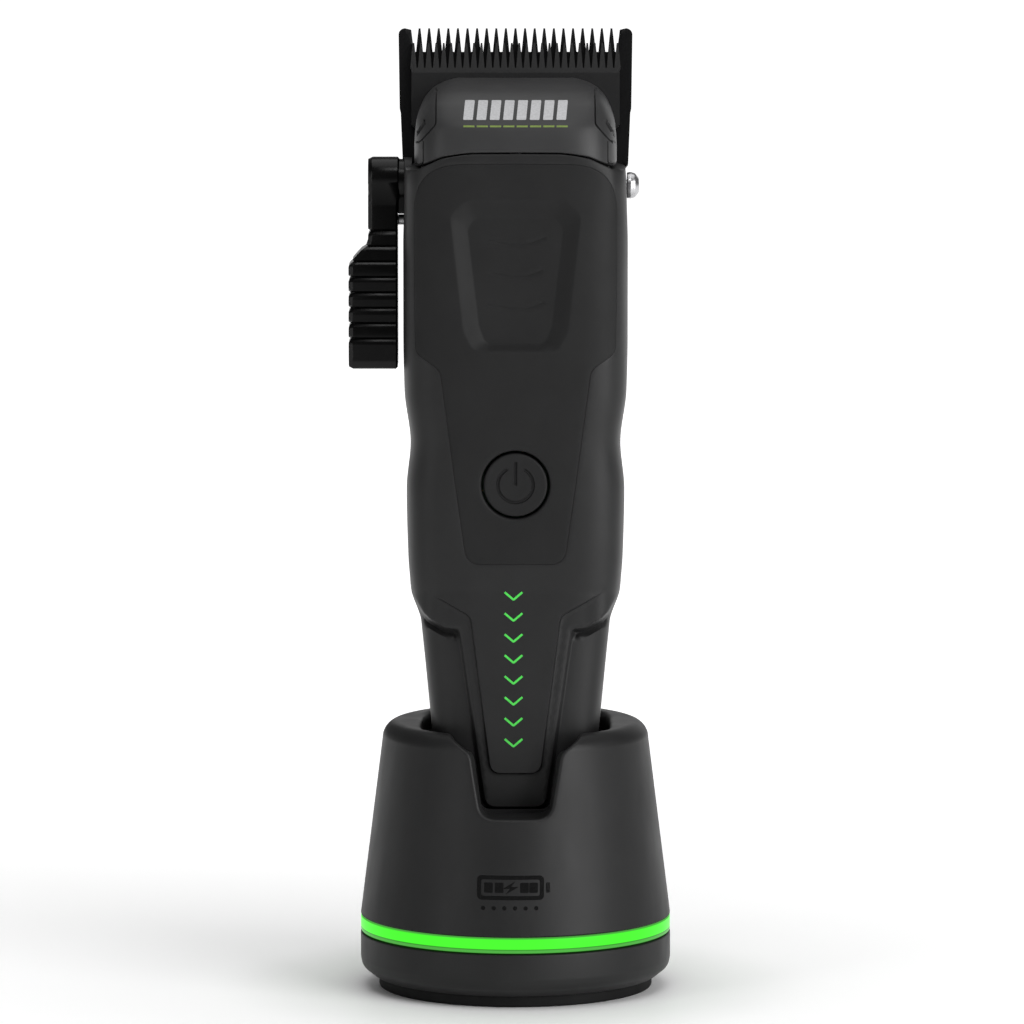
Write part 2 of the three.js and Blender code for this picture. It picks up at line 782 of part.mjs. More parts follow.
function bladeScrew(x) {
  const head = barY(2.8, BLADE.thickness + GAP, BLADE.thickness + 1.6, x, BLADE_SCREW_Z, 16);
  return head.add(barY(1.0, -4.3, BLADE.thickness + 0.6, x, BLADE_SCREW_Z, 10));
}

// A wire spring that holds the cutter against the stationary blade.
function tensionSpring() {
  const half = [
    [BLADE_SCREW_X, -5.5, 1.4],
    [BLADE_SCREW_X, -5.4, 5.0],
    [BLADE_SCREW_X, -3.1, 9.0],
    [BLADE_SCREW_X - 0.6, -2.9, 12.0],
    [BLADE_SCREW_X - 3.0, -2.85, 13.4],
  ];
  const right = half.map(([x, y, z]) => new THREE.Vector3(x, y, z));
  const left = half.map(([x, y, z]) => new THREE.Vector3(-x, y, z)).reverse();
  return wire([...right, ...left], 0.6, 26, 6);
}

// The yoke stands in front of the cutter, and the eccentric pin runs in its slot.
function driveYoke() {
  const rear = (z) => leanY(z, CUTTER_FACE - GAP);
  const profile = [[-8.8, 170.0], [rear(170.0), 170.0], [rear(173.5), 173.5], [-8.8, 173.5]];
  const slot = box([-4.1, -7.3, 168], [4.1, -0.7, 176]);
  return plateYZ(profile, -6, 6).subtract(slot);
}

// ---------------------------------------------------------------- drive

function motorBody() {
  const { y, radius, bottom, top } = MOTOR;
  let can = barZ(radius, bottom, top, 0, y, 32).add(barZ(4, top - 1, top + 1.7, 0, y, 20));
  can = can.add(box([-4, y - 3, bottom - 2], [-3, y + 3, bottom + 1]));
  can = can.add(box([3, y - 3, bottom - 2], [4, y + 3, bottom + 1]));
  can = can.subtract(barZ(1.4, bottom + 3, top + 3, 0, y, 16));
  for (const x of [-7, 7]) can = can.subtract(barZ(1.1, top - 4, top + 1, x, y, 10));
  return can;
}

function motorShaft() {
  const { throw: offset, pinRadius, bottom, top, pinTop } = ECCENTRIC;
  const shaft = barZ(1.0, MOTOR.bottom + 4, bottom + 1, 0, MOTOR.y, 14);
  const disc = barZ(3.2, bottom, top, 0, MOTOR.y, 20);
  return shaft.add(disc).add(barZ(pinRadius, top - 1, pinTop, 0, MOTOR.y - offset, 14));
}

function driveChassis() {
  const { y, z } = LEVER_AXIS;
  let frame = box([-17.6, -12.0, 150.7], [17.6, 8.0, 153.7]);
  frame = frame.add(box([-17.6, -6.5, 152], [-14.9, 3.0, 166.2]));
  frame = frame.add(box([14.9, -6.5, 152], [17.6, 3.0, 166.2]));
  frame = frame.subtract(barZ(4.4, 149, 156, 0, MOTOR.y, 20));
  for (const x of [-7, 7]) frame = frame.subtract(barZ(1.1, 149, 156, x, MOTOR.y, 10));
  frame = frame.subtract(barX(CROSS_SHAFT_RADIUS + 0.08, -20, 20, y, z, 24));
  for (const [x0, x1] of [[-19, -16.2], [16.2, 19]]) {
    frame = frame.subtract(box([x0, -8, 157.5], [x1, -2, 168]));
  }
  return frame;
}

function motorScrew(x) {
  const top = 154.0;
  return barZ(1.8, top, top + 1.2, x, MOTOR.y, 12).add(
    barZ(0.8, MOTOR.top - 3, top + 0.5, x, MOTOR.y, 10),
  );
}

// A cam lobe on the cross shaft: its nose stands in the carrier's window.
function leverCam() {
  const { y, z } = LEVER_AXIS;
  const angle = -LEAN + CAM_REST;
  const noseY = y + CAM_THROW * Math.cos(angle);
  const noseZ = z + CAM_THROW * Math.sin(angle);
  const ring = barX(2.4, -2.6, 2.6, y, z, 24);
  const nose = barX(1.2, -2.6, 2.6, noseY, noseZ, 16);
  const web = box([-2.6, 0, -1.1], [2.6, CAM_THROW, 1.1]);
  const placed = web.rotate([THREE.MathUtils.radToDeg(angle), 0, 0]).translate([0, y, z]);
  const bore = barX(CROSS_SHAFT_RADIUS + 0.15, -5, 5, y, z, 24);
  return ring.add(nose).add(placed).subtract(bore);
}

function taperLever() {
  const { y, z } = LEVER_AXIS;
  const { outer, inner, hubRadius, gripOuter, gripInner, gripTop, gripBottom } = LEVER;
  const hub = barX(hubRadius, outer, inner, y, z, 32);
  const arm = [
    [y - hubRadius, z],
    [y - 4.6, 154.7],
    [y - 4.9, 152.0],
    [y + 4.9, 152.0],
    [y + 4.6, 154.7],
    [y + hubRadius, z],
  ];
  const grip = [
    [y - 4.6, 154.7],
    [y - 5.2, gripTop],
    [y - 5.2, gripBottom + 1.5],
    [y - 3.8, gripBottom],
    [y + 3.8, gripBottom],
    [y + 5.2, gripBottom + 1.5],
    [y + 5.2, gripTop],
    [y + 4.6, 154.7],
  ];
  const front = [
    [gripInner, 154.7],
    [gripInner, gripBottom + 0.4],
    [gripInner - 0.6, gripBottom],
    [gripOuter + 0.8, gripBottom],
    [gripOuter, gripBottom + 0.8],
    [gripOuter, gripTop],
    [outer, 151.2],
    [outer, 154.7],
  ];
  let lever = hub.add(plateYZ(arm, outer, inner));
  lever = lever.add(plateYZ(grip, -40, -20).intersect(plateXZ(front, -10, 10)));
  for (let i = 0; i < LEVER.ridges; i++) {
    const grooveZ = 127.9 + LEVER.ridgePitch * i - 0.35;
    lever = lever.subtract(box([-40, -20, grooveZ], [gripOuter + 0.9, 20, grooveZ + 0.7]));
  }
  return lever.subtract(barX(CROSS_SHAFT_RADIUS + 0.1, -27.4, -20, y, z, 20));
}

function sideScrew() {
  const { y, z, radius, head: end } = SIDE_SCREW;
  const dome = new THREE.CylinderGeometry(radius - 0.7, radius, 0.7, 24).rotateZ(-Math.PI / 2);
  const cap = solidOf(dome.translate(end - 0.35, y, z));
  const neck = barX(radius, 22.4, end - 0.7, y, z, 24);
  return cap.add(neck).add(barX(1.1, 18.6, 23, y, z, 12));
}

function detentPlunger() {
  const { y, z, radius, tip } = DETENT;
  const nose = new THREE.CylinderGeometry(radius, radius - 0.4, 0.5, 16).rotateZ(-Math.PI / 2);
  const rounded = solidOf(nose.translate(tip + 0.25, y, z));
  return rounded.add(barX(radius, tip + 0.5, -21.2, y, z, 16));
}

function detentSpring() {
  const coil = coilZ(0.9, 0.2, 0, 2.4, 3);
  return coil.rotate([0, 90, 0]).translate([-20.9, DETENT.y, DETENT.z]);
}

// ---------------------------------------------------------------- clipper assembly

function endCap() {
  const row = bodyRow(BODY_BOTTOM);
  const plan = (z, inset) => section(z, row[1] - inset, row[2] + inset, row[3] - inset);
  let cap = loft([plan(END_CAP_BOTTOM, 1.6), plan(END_CAP_BOTTOM + 1.4, 0), plan(37.7, 0)]);
  cap = cap.subtract(loft([plan(36.6, 2.2), plan(39, 2.2)]));
  cap = cap.subtract(box([-4.8, 3.2, 30], [4.8, 7.0, 40]));
  for (const x of [-CHARGE_X, CHARGE_X]) {
    cap = cap.subtract(barZ(1.9, 30, 36.6, x, CHARGE_Y, 16));
  }
  return cap;
}

function powerButton() {
  const { z, radius, faceY } = BUTTON;
  return barY(radius, faceY, -14.0, 0, z, 28).add(barY(7.3, -14.5, -13.1, 0, z, 28));
}

function batteryCradle() {
  const ring = [];
  for (let i = 0; i <= 12; i++) ring.push(circlePoint(10.4, -10 + (200 * i) / 12));
  for (let i = 12; i >= 0; i--) ring.push(circlePoint(9.4, -10 + (200 * i) / 12));
  return solidOf(extruded(ring, 60).translate(0, 1.4, 47));
}

function buildClipper() {
  add("front_housing", frontHousing(), MATTE_BLACK);
  add("rear_housing", rearHousing(), MATTE_BLACK);
  add("soft_touch_panel", softTouchPanel(), SOFT_BLACK);
  add("head_cap", headCap(), LID_GREY);
  add("cap_clip_left", capClip(-1), GLOSS_BLACK);
  add("cap_clip_right", capClip(1), GLOSS_BLACK);
  add("end_cap", endCap(), MATTE_BLACK);
  add("power_button", powerButton(), SOFT_BLACK);

  add("circuit_board", box([-8.6, -9.4, 62], [8.6, -8.2, 118]), BOARD_GREEN);
  const switchBody = box([-3, -11.6, BUTTON.z - 3], [3, -9.7, BUTTON.z + 3]);
  add("tact_switch", switchBody.add(barY(1.6, -12.1, -11, 0, BUTTON.z, 14)), STEEL);
  add("battery_cell", barZ(9.1, 44, 109, 0, 1.4, 28), CELL_WRAP);
  add("battery_cradle", batteryCradle(), INNER_PLASTIC);
  add("charging_jack", box([-4.4, 3.5, 35.0], [4.4, 6.7, 42.5]), STEEL);
  for (const [side, x] of [["left", -CHARGE_X], ["right", CHARGE_X]]) {
    add(`charge_contact_${side}`, barZ(1.6, 35.5, 38.4, x, CHARGE_Y, 16), BRASS);
  }
  for (const [place, position] of Object.entries(HOUSING_SCREWS)) {
    add(`housing_screw_${place}`, housingScrew(position), STEEL);
  }
}

function buildDrive() {
  add("motor", motorBody(), STEEL);
  add("motor_shaft", motorShaft(), STEEL);
  add("drive_chassis", driveChassis(), INNER_PLASTIC);
  add("motor_screw_left", motorScrew(-7), STEEL);
  add("motor_screw_right", motorScrew(7), STEEL);
  add("drive_yoke", driveYoke(), INNER_PLASTIC);

  add("stationary_blade", stationaryBlade(), BLADE_BLACK, head);
  add("cutter_blade", cutterBlade(), CUTTER_BLACK, head);
  add("blade_carrier", bladeCarrier(), INNER_PLASTIC, head);
  add("tension_spring", tensionSpring(), STEEL, head);
  add("blade_screw_left", bladeScrew(-BLADE_SCREW_X), STEEL, head);
  add("blade_screw_right", bladeScrew(BLADE_SCREW_X), STEEL, head);

  const { y, z } = LEVER_AXIS;
  add("taper_lever", taperLever(), GLOSS_BLACK);
  add("cross_shaft", barX(CROSS_SHAFT_RADIUS, -27.1, 17.3, y, z, 24), STEEL);
  add("lever_cam", leverCam(), STEEL);
  const washer = barX(5.6, -24.2, -22.9, y, z, 28);
  const washerBore = barX(CROSS_SHAFT_RADIUS + 0.3, -26, -20, y, z, 20);
  add("lever_washer", washer.subtract(washerBore), GLOSS_BLACK);
  add("side_screw", sideScrew(), CHROME);
  add("detent_plunger", detentPlunger(), STEEL);
  add("detent_spring", detentSpring(), STEEL);
}

buildDock();
buildClipper();
buildDrive();

export default clipperInDock;
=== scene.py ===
"""A cordless hair clipper standing in its charging dock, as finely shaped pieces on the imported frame.

Sizes are in millimetres until a mesh is made. +Z is up, the front faces -Y, and the taper lever
is on the -X side.
"""

import math

import bmesh
import bpy
import numpy as np
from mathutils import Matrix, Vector, geometry, kdtree


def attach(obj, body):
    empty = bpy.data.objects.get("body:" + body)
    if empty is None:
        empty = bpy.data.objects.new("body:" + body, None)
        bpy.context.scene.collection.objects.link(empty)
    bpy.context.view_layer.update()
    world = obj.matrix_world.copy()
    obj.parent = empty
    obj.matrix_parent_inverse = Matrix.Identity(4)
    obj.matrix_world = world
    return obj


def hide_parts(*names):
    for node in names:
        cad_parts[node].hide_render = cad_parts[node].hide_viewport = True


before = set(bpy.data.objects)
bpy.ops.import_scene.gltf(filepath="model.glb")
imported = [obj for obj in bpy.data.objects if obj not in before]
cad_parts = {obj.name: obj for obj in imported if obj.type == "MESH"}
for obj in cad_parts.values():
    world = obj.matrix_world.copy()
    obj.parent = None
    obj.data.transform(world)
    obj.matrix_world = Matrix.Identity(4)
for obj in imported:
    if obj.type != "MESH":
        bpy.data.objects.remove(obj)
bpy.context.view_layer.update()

MM = 0.001

# ---------------------------------------------------------------- driving dimensions

# The clipper's body: height, half width, front face and rear face.
BODY = [
    [38.0, 15.3, -15.0, 14.2],
    [45.0, 16.0, -15.3, 14.6],
    [56.8, 17.1, -15.5, 15.0],
    [73.0, 18.7, -15.6, 15.3],
    [75.2, 18.95, -15.65, 15.5],
    [76.2, 19.3, -15.7, 15.8],
    [79.4, 20.5, -15.9, 16.4],
    [80.6, 20.82, -16.3, 16.6],
    [82.0, 20.95, -17.52, 16.65],
    [88.0, 21.4, -17.9, 16.8],
    [101.0, 21.7, -18.4, 17.0],
    [110.5, 20.9, -18.8, 17.0],
    [121.0, 22.1, -19.3, 17.6],
    [132.0, 22.3, -19.8, 18.4],
    [150.0, 22.3, -20.3, 19.0],
    [157.0, 22.1, -20.2, 15.8],
    [161.0, 22.0, -20.1, 12.2],
    [163.2, 21.9, -20.0, 9.2],
    [169.2, 21.4, -19.8, 9.2],
]
FRONT_POWER = 5
REAR_POWER = 3.4
PART_LINE_Y = 2.0
SEAM = 0.12  # half the gap between the cap and the housing
SIDE_SEAM = 0.01  # half the gap between the two housings, which touch inside their round edges

# The head cap: height, half width and front face.
CAP = [
    [165.0, 20.1, -19.8],
    [169.0, 20.1, -19.5],
    [173.5, 19.8, -18.5],
    [177.5, 18.5, -15.4],
    [180.0, 16.6, -11.0],
    [181.4, 14.2, -5.5],
    [181.9, 12.4, -1.0],
    [182.02, 11.8, 2.6],
    [182.1, 11.2, 6.4],
]
CAP_EDGE = [[0.0, 168.85], [8.0, 168.8], [14.0, 168.0], [17.0, 166.8], [19.4, 165.7]]

# The blades lean back. In their own frame x is across, y goes into the blade and z up it.
HEEL_Y, HEEL_Z = 5.0, 164.4
LEAN = math.radians(15)
CUTTER_FACE = -1.9
CAP_CLEARANCE = 0.7  # between the cutter and the cap's rear edge

LEVER_Y = -0.5
LEVER_Z = 162.2

DOCK_WELL = [[34.0, 16.8, -17.0, 16.2], [53.7, 18.6, -17.7, 17.5]]
DOCK_TOP = 53.7
DOCK_BOTTOM = 14.6
RING_LOW = 11.4
RING_HIGH = 14.35
DOCK_RADIUS = 31.1
RIM_RADIUS = 26.6
RIM_HEIGHT = 3.1

# ---------------------------------------------------------------- materials


class Look:
    """A material of nodes, started from a Principled shader whose plain values are set on it."""

    def __init__(self, name, **values):
        self.material = bpy.data.materials.new(name)
        self.material.use_nodes = True
        self.tree = self.material.node_tree
        self.shader = self.tree.nodes["Principled BSDF"]
        for key, value in values.items():
            self.shader.inputs[key.replace("_", " ")].default_value = value
        self.place = self.node("ShaderNodeTexCoord").outputs["Object"]

    def node(self, kind, **settings):
        made = self.tree.nodes.new(kind)
        for key, value in settings.items():
            setattr(made, key, value)
        return made

    def link(self, output, target):
        self.tree.links.new(output, target)

    def noise(self, size_mm, detail=2.0, stretch=(1, 1, 1)):
        """A noise whose features are about size_mm across."""
        mapping = self.node("ShaderNodeMapping")
        mapping.inputs["Scale"].default_value = stretch
        self.link(self.place, mapping.inputs["Vector"])
        noise = self.node("ShaderNodeTexNoise")
        noise.inputs["Scale"].default_value = 1 / (size_mm * MM)
        noise.inputs["Detail"].default_value = detail
        self.link(mapping.outputs["Vector"], noise.inputs["Vector"])
        return noise.outputs["Fac"]

    def ramp(self, value, stops):
        """A colour that runs between stops, each a place and a colour."""
        ramp = self.node("ShaderNodeValToRGB")
        elements = ramp.color_ramp.elements
        for element, (place, colour) in zip(elements, (stops[0], stops[-1])):
            element.position = place
            element.color = (*colour, 1)
        for place, colour in stops[1:-1]:
            element = elements.new(place)
            element.color = (*colour, 1)
        self.link(value, ramp.inputs["Fac"])
        return ramp.outputs["Color"]

    def vary(self, value, low, high):
        """A number that runs from low to high with a noise between 0.3 and 0.7."""
        span = self.node("ShaderNodeMapRange")
        for key, number in (("From Min", 0.3), ("From Max", 0.7), ("To Min", low), ("To Max", high)):
            span.inputs[key].default_value = number
        self.link(value, span.inputs["Value"])
        return span.outputs["Result"]

    def bump(self, height, strength, distance_mm):
        bump = self.node("ShaderNodeBump")
        bump.inputs["Strength"].default_value = strength
        bump.inputs["Distance"].default_value = distance_mm * MM
        self.link(height, bump.inputs["Height"])
        self.link(bump.outputs["Normal"], self.shader.inputs["Normal"])


def grey(level, tint=(1, 1, 1)):
    return tuple(level * t for t in tint)


def moulded(name, level, roughness, grain_mm=0.16, bump=0.25, tint=(1, 1, 1.02), **values):
    """Moulded plastic: a fine spark-eroded grain, faint cloudiness and uneven sheen."""
    look = Look(name, Roughness=roughness, **values)
    clouds = look.noise(9, 3)
    low, high = grey(level * 0.9, tint), grey(level * 1.1, tint)
    look.link(look.ramp(clouds, [(0.3, low), (0.7, high)]), look.shader.inputs["Base Color"])
    smears = look.noise(5, 2, (1, 1, 0.4))
    sheen = look.vary(smears, roughness - 0.03, roughness + 0.04)
    look.link(sheen, look.shader.inputs["Roughness"])
    look.bump(look.noise(grain_mm, 1), bump, 0.02)
    return look.material


def brushed(name, colour, roughness, stretch=(1, 1, 0.04), metallic=1.0, bump=0.12, **values):
    """Worked metal: fine scratches along one direction."""
    look = Look(name, Metallic=metallic, Roughness=roughness, **values)
    scratches = look.noise(0.12, 2, stretch)
    low, high = grey(0.86, colour), grey(1.08, colour)
    look.link(look.ramp(scratches, [(0.3, low), (0.7, high)]), look.shader.inputs["Base Color"])
    look.link(look.vary(scratches, roughness * 0.8, roughness * 1.25), look.shader.inputs["Roughness"])
    look.bump(scratches, bump, 0.01)
    return look.material


def lit_ring(name):
    """Milky light guide: a bright band over a dimmer lower edge."""
    look = Look(name, Roughness=0.3, Specular_IOR_Level=0.1)
    split = look.node("ShaderNodeSeparateXYZ")
    look.link(look.place, split.inputs["Vector"])
    span = look.node("ShaderNodeMapRange")
    for key, number in (("From Min", RING_LOW * MM), ("From Max", RING_HIGH * MM)):
        span.inputs[key].default_value = number
    look.link(split.outputs["Z"], span.inputs["Value"])
    edge, dim, full = (0.02, 0.12, 0.012), (0.075, 0.37, 0.055), (0.068, 0.97, 0.027)
    stops = [(0.0, edge), (0.06, dim), (0.2, dim), (0.25, edge), (0.31, full), (0.93, full), (1.0, dim)]
    look.link(look.ramp(span.outputs["Result"], stops), look.shader.inputs["Emission Color"])
    milk = look.ramp(look.noise(6, 2), [(0.3, (0.004, 0.06, 0.003)), (0.7, (0.006, 0.08, 0.004))])
    look.link(milk, look.shader.inputs["Base Color"])
    look.shader.inputs["Emission Strength"].default_value = 1.0
    return look.material


def printed(name, colour, roughness=0.4, painted_glow=0.0):
    """Pad-printed ink with slightly uneven cover. A painted glow, when given, makes the ink shine as painted
    light.
    """
    look = Look(name, Roughness=roughness)
    low, high = grey(0.88, colour), grey(1.06, colour)
    ink = look.ramp(look.noise(0.35, 3), [(0.35, low), (0.65, high)])
    look.link(ink, look.shader.inputs["Base Color"])
    # Painted light: the ink's own colour is given off as a glow.
    if painted_glow:
        look.link(ink, look.shader.inputs["Emission Color"])
        look.shader.inputs["Emission Strength"].default_value = painted_glow
    look.bump(look.noise(0.1, 1), 0.1, 0.01)
    return look.material


def circuit(name):
    look = Look(name, Roughness=0.45)
    tracks = look.node("ShaderNodeTexVoronoi")
    tracks.inputs["Scale"].default_value = 700
    look.link(look.place, tracks.inputs["Vector"])
    colour = look.ramp(tracks.outputs["Distance"], [(0.1, (0.30, 0.24, 0.08)), (0.2, (0.01, 0.09, 0.03))])
    look.link(colour, look.shader.inputs["Base Color"])
    look.bump(tracks.outputs["Distance"], 0.3, 0.03)
    return look.material


BLACK_STEEL = (0.0025, 0.0025, 0.0028)
DARK_STEEL = (0.009, 0.009, 0.0093)
BRIGHT_STEEL = (0.5, 0.5, 0.51)

LOOKS = {
    "matte_black": moulded("moulded_black", 0.011, 0.46, Specular_IOR_Level=0.25),
    "soft_touch_black": moulded("soft_touch_black", 0.009, 0.6, 0.11, 0.3, Specular_IOR_Level=0.2),
    "cap_grey": moulded("cap_grey", 0.026, 0.44, 0.16, Specular_IOR_Level=0.3),
    "gloss_black": moulded("gloss_black", 0.001, 0.26, 0.5, 0.04, Specular_IOR_Level=0.2),
    "blade_black": brushed("blade_black", BLACK_STEEL, 0.42, metallic=0.0, Specular_IOR_Level=0.12),
    "cutter_grey": brushed("cutter_grey", DARK_STEEL, 0.45, metallic=0.0, Specular_IOR_Level=0.2),
    "chrome": brushed("chrome", BRIGHT_STEEL, 0.3, (0.04, 1, 1), bump=0.0),
    "steel": brushed("steel", BRIGHT_STEEL, 0.35),
    "brass": brushed("brass", (0.75, 0.52, 0.2), 0.3),
    "green_light": lit_ring("ring_light"),
    "rubber_black": moulded("rubber_black", 0.004, 0.7, 0.3, 0.4, Specular_IOR_Level=0.2),
    "board_green": circuit("board_green"),
    "cell_wrap": moulded("cell_wrap", 0.25, 0.4, 0.5, 0.05, (0.2, 0.55, 1.0)),
    "inner_plastic": moulded("inner_plastic", 0.08, 0.5, 0.25),
}
# The green ink also glows a little: painted light on the print.
MARK_GREEN = printed("mark_green", (0.05, 0.50, 0.055), 0.45, 0.2)
MARK_GREY = printed("mark_grey", (0.40, 0.40, 0.41), 0.45)
MARK_OLIVE = printed("mark_olive", (0.13, 0.19, 0.03), 0.5)
MARK_GLOSS = printed("mark_gloss", (0.003, 0.003, 0.0031), 0.12)

# ---------------------------------------------------------------- outlines


def mirrored(half):
    """A right half outline, listed from the middle to the middle, and its mirror image."""
    left = [(-x, z) for x, z in half if abs(x) > 1e-6]
    return [tuple(p) for p in half] + left[::-1]


def corner_arc(before, here, after, radius, steps=None):
    """Points that round the corner at here. before and after lead away from it."""
    angle = before.angle(after)
    reach = min(radius / math.tan(angle / 2), 0.48 * before.length, 0.48 * after.length)
    start = here + before.normalized() * reach
    end = here + after.normalized() * reach
    steps = steps or max(3, int((math.pi - angle) / math.radians(9)))
    shares = [k / steps for k in range(steps + 1)]
    return [start * (1 - t) ** 2 + here * 2 * t * (1 - t) + end * t ** 2 for t in shares]


def rounded(points, radius, step=0.35, closed=True):
    """A polygon with its corners drawn as arcs and its sides divided into short steps."""
    corners = [Vector(p) for p in points]
    count = len(corners)
    radii = radius if isinstance(radius, (list, tuple)) else [radius] * count
    path = []
    for i, here in enumerate(corners):
        before = corners[i - 1] - here
        after = corners[(i + 1) % count] - here
        is_end = not closed and i in (0, count - 1)
        if is_end or radii[i] <= 0 or before.angle(after) > math.radians(178):
            path.append(here)
        else:
            path += corner_arc(before, here, after, radii[i])
    dense = []
    last = len(path) if closed else len(path) - 1
    for i in range(last):
        a, b = path[i], path[(i + 1) % len(path)]
        pieces = max(1, int(round((b - a).length / step)))
        dense += [a.lerp(b, k / pieces) for k in range(pieces)]
    if not closed:
        dense.append(path[-1])
    return np.array([(p[0], p[1]) for p in dense])


def circle(x, z, radius, count=64):
    angles = np.linspace(0, 2 * np.pi, count, endpoint=False)
    return np.stack([x + radius * np.cos(angles), z + radius * np.sin(angles)], 1)


def grown(loop, distance):
    """A closed outline moved outwards by a distance."""
    along = np.roll(loop, -1, 0) - np.roll(loop, 1, 0)
    across = np.stack([along[:, 1], -along[:, 0]], 1)
    across /= np.linalg.norm(across, axis=1)[:, None] + 1e-12
    following = np.roll(loop, -1, 0)
    area = (loop[:, 0] * following[:, 1] - following[:, 0] * loop[:, 1]).sum()
    return loop + across * distance * np.sign(area)


def beside(line, distance):
    """An open line moved sideways by a distance."""
    along = np.gradient(line, axis=0)
    across = np.stack([along[:, 1], -along[:, 0]], 1)
    across /= np.linalg.norm(across, axis=1)[:, None] + 1e-12
    return line + across * distance


def distance_to(points, line, closed=True):
    """How far each point is from a line, and, of a closed one, counted positive inside."""
    a = line if closed else line[:-1]
    b = np.roll(line, -1, 0) if closed else line[1:]
    along = b - a
    square = (along ** 2).sum(1) + 1e-12
    found = np.empty(len(points))
    for start in range(0, len(points), 4000):
        p = points[start:start + 4000, None]
        t = np.clip(((p - a) * along).sum(2) / square, 0, 1)
        near = np.sqrt((((p - a) - t[..., None] * along) ** 2).sum(2)).min(1)
        if closed:
            crosses = (a[:, 1] > p[..., 1]) != (b[:, 1] > p[..., 1])
            rise = np.where(np.abs(along[:, 1]) < 1e-12, 1e-12, along[:, 1])
            where = a[:, 0] + (p[..., 1] - a[:, 1]) * along[:, 0] / rise
            inside = (crosses & (p[..., 0] < where)).sum(1) % 2 == 1
            near = np.where(inside, near, -near)
        found[start:start + 4000] = near
    return found


def smooth(value):
    value = np.clip(value, 0, 1)
    return value * value * (3 - 2 * value)


def fillet(distance, radius):
    """How far a rounded edge falls below the surface, by the distance in from the edge."""
    left = np.clip(radius - distance, 0, radius)
    return radius - np.sqrt(radius ** 2 - left ** 2)


def fillet_steps(radius, count=5):
    return [radius * (1 - math.cos(math.pi / 2 * k / count)) for k in range(1, count + 1)]


def fine_lines(lines, offsets, closed=True):
    """Copies of lines at several distances, to carry a fine edge."""
    move = grown if closed else beside
    return [move(line, d) for line in lines for d in offsets]


def groove(points, line, half_width, depth, power=4):
    """How deep a cut along an open line is at each point. A high power makes steep walls."""
    near = (distance_to(points, line, False) / half_width).clip(0, 1)
    return depth * (1 - near ** power)


# ---------------------------------------------------------------- skins


def through(rows):
    """A smooth function of height through rows of [height, values...], which never overshoots."""
    rows = np.array(rows, float)
    x, y = rows[:, 0], rows[:, 1:]
    slope = np.diff(y, axis=0) / np.diff(x)[:, None]
    tangent = np.zeros_like(y)
    tangent[0], tangent[-1] = slope[0], slope[-1]
    same = slope[1:] * slope[:-1] > 0
    total = np.where(same, slope[1:] + slope[:-1], 1)
    tangent[1:-1] = np.where(same, 2 * slope[1:] * slope[:-1] / total, 0)

    def at(z):
        z = np.atleast_1d(np.asarray(z, float))
        i = np.clip(np.searchsorted(x, z) - 1, 0, len(x) - 2)
        width = x[i + 1] - x[i]
        t = np.clip((z - x[i]) / width, 0, 1)[:, None]
        width = width[:, None]
        return (
            (2 * t ** 3 - 3 * t ** 2 + 1) * y[i]
            + (t ** 3 - 2 * t ** 2 + t) * width * tangent[i]
            + (3 * t ** 2 - 2 * t ** 3) * y[i + 1]
            + (t ** 3 - t ** 2) * width * tangent[i + 1]
        )

    return at


class Skin:
    """A surface laid over sections. u is the length round it from the middle, v goes up it."""

    STEP = 0.2

    def __init__(self, start, stop, section, outward=1):
        self.start = start
        self.outward = outward
        self.v = np.arange(start, stop + self.STEP, self.STEP)
        lines = [section(v) for v in self.v]
        lengths = [np.r_[0, np.cumsum(np.linalg.norm(np.diff(p, axis=0), axis=1))] for p in lines]
        self.u = np.arange(0, max(n[-1] for n in lengths), self.STEP)
        rows = []
        for line, length in zip(lines, lengths):
            row = np.stack([np.interp(self.u, length, line[:, k]) for k in range(3)], 1)
            beyond = np.clip(self.u - length[-1], 0, None)[:, None]
            direction = line[-1] - line[-2]
            rows.append(row + beyond * direction / np.linalg.norm(direction))
        self.table = np.array(rows)

    def point(self, u, v):
        a = np.clip((v - self.start) / self.STEP, 0, len(self.v) - 1.001)
        b = np.clip(np.abs(u) / self.STEP, 0, len(self.u) - 1.001)
        i, j = a.astype(int), b.astype(int)
        s, t = (a - i)[:, None], (b - j)[:, None]
        low = self.table[i, j] * (1 - t) + self.table[i, j + 1] * t
        high = self.table[i + 1, j] * (1 - t) + self.table[i + 1, j + 1] * t
        place = low * (1 - s) + high * s
        place[:, 0] *= np.sign(u)
        return place

    def normal(self, u, v):
        reach = 0.3
        across = self.point(u + reach, v) - self.point(u - reach, v)
        up = self.point(u, v + reach) - self.point(u, v - reach)
        normal = np.cross(across, up) * self.outward
        return normal / (np.linalg.norm(normal, axis=1)[:, None] + 1e-12)

    def unrolled(self, points):
        """The skin's own u and v of points given by x and z, on the side that faces outwards."""
        middle = self.table[:, 0, 2]
        found = []
        for x, z in points:
            v = float(np.interp(z, middle, self.v))
            row = self.point(self.u, np.full(len(self.u), v))
            last = int(row[:, 0].argmax()) + 1
            u = float(np.interp(abs(x), row[:last, 0], self.u[:last]))
            found.append((math.copysign(u, x), v))
        return np.array(found)

    def edge(self, y_of_z, v):
        """u where the surface crosses the y that y_of_z gives, at heights v."""
        found = []
        for height in v:
            row = self.point(self.u, np.full(len(self.u), height))
            line = y_of_z(row[:, 2]) - row[:, 1]
            found.append(float(np.interp(0, -line * self.outward, self.u)))
        return np.array(found)


def oval(half, front, rear, z, count=240):
    """Half of a rounded section, from the front middle round the right side to the rear middle."""
    middle = (front + rear) / 2
    angle = np.linspace(-np.pi / 2, np.pi / 2, count)
    c, s = np.cos(angle).clip(0), np.sin(angle)
    power = np.where(s < 0, 2 / FRONT_POWER, 2 / REAR_POWER)
    x = half * c ** power
    y = middle + (rear - front) / 2 * np.sign(s) * np.abs(s) ** power
    return np.stack([x, y, np.full(count, z)], 1)


body_at = through(BODY)
cap_at = through(CAP)
cap_edge_at = through(CAP_EDGE)


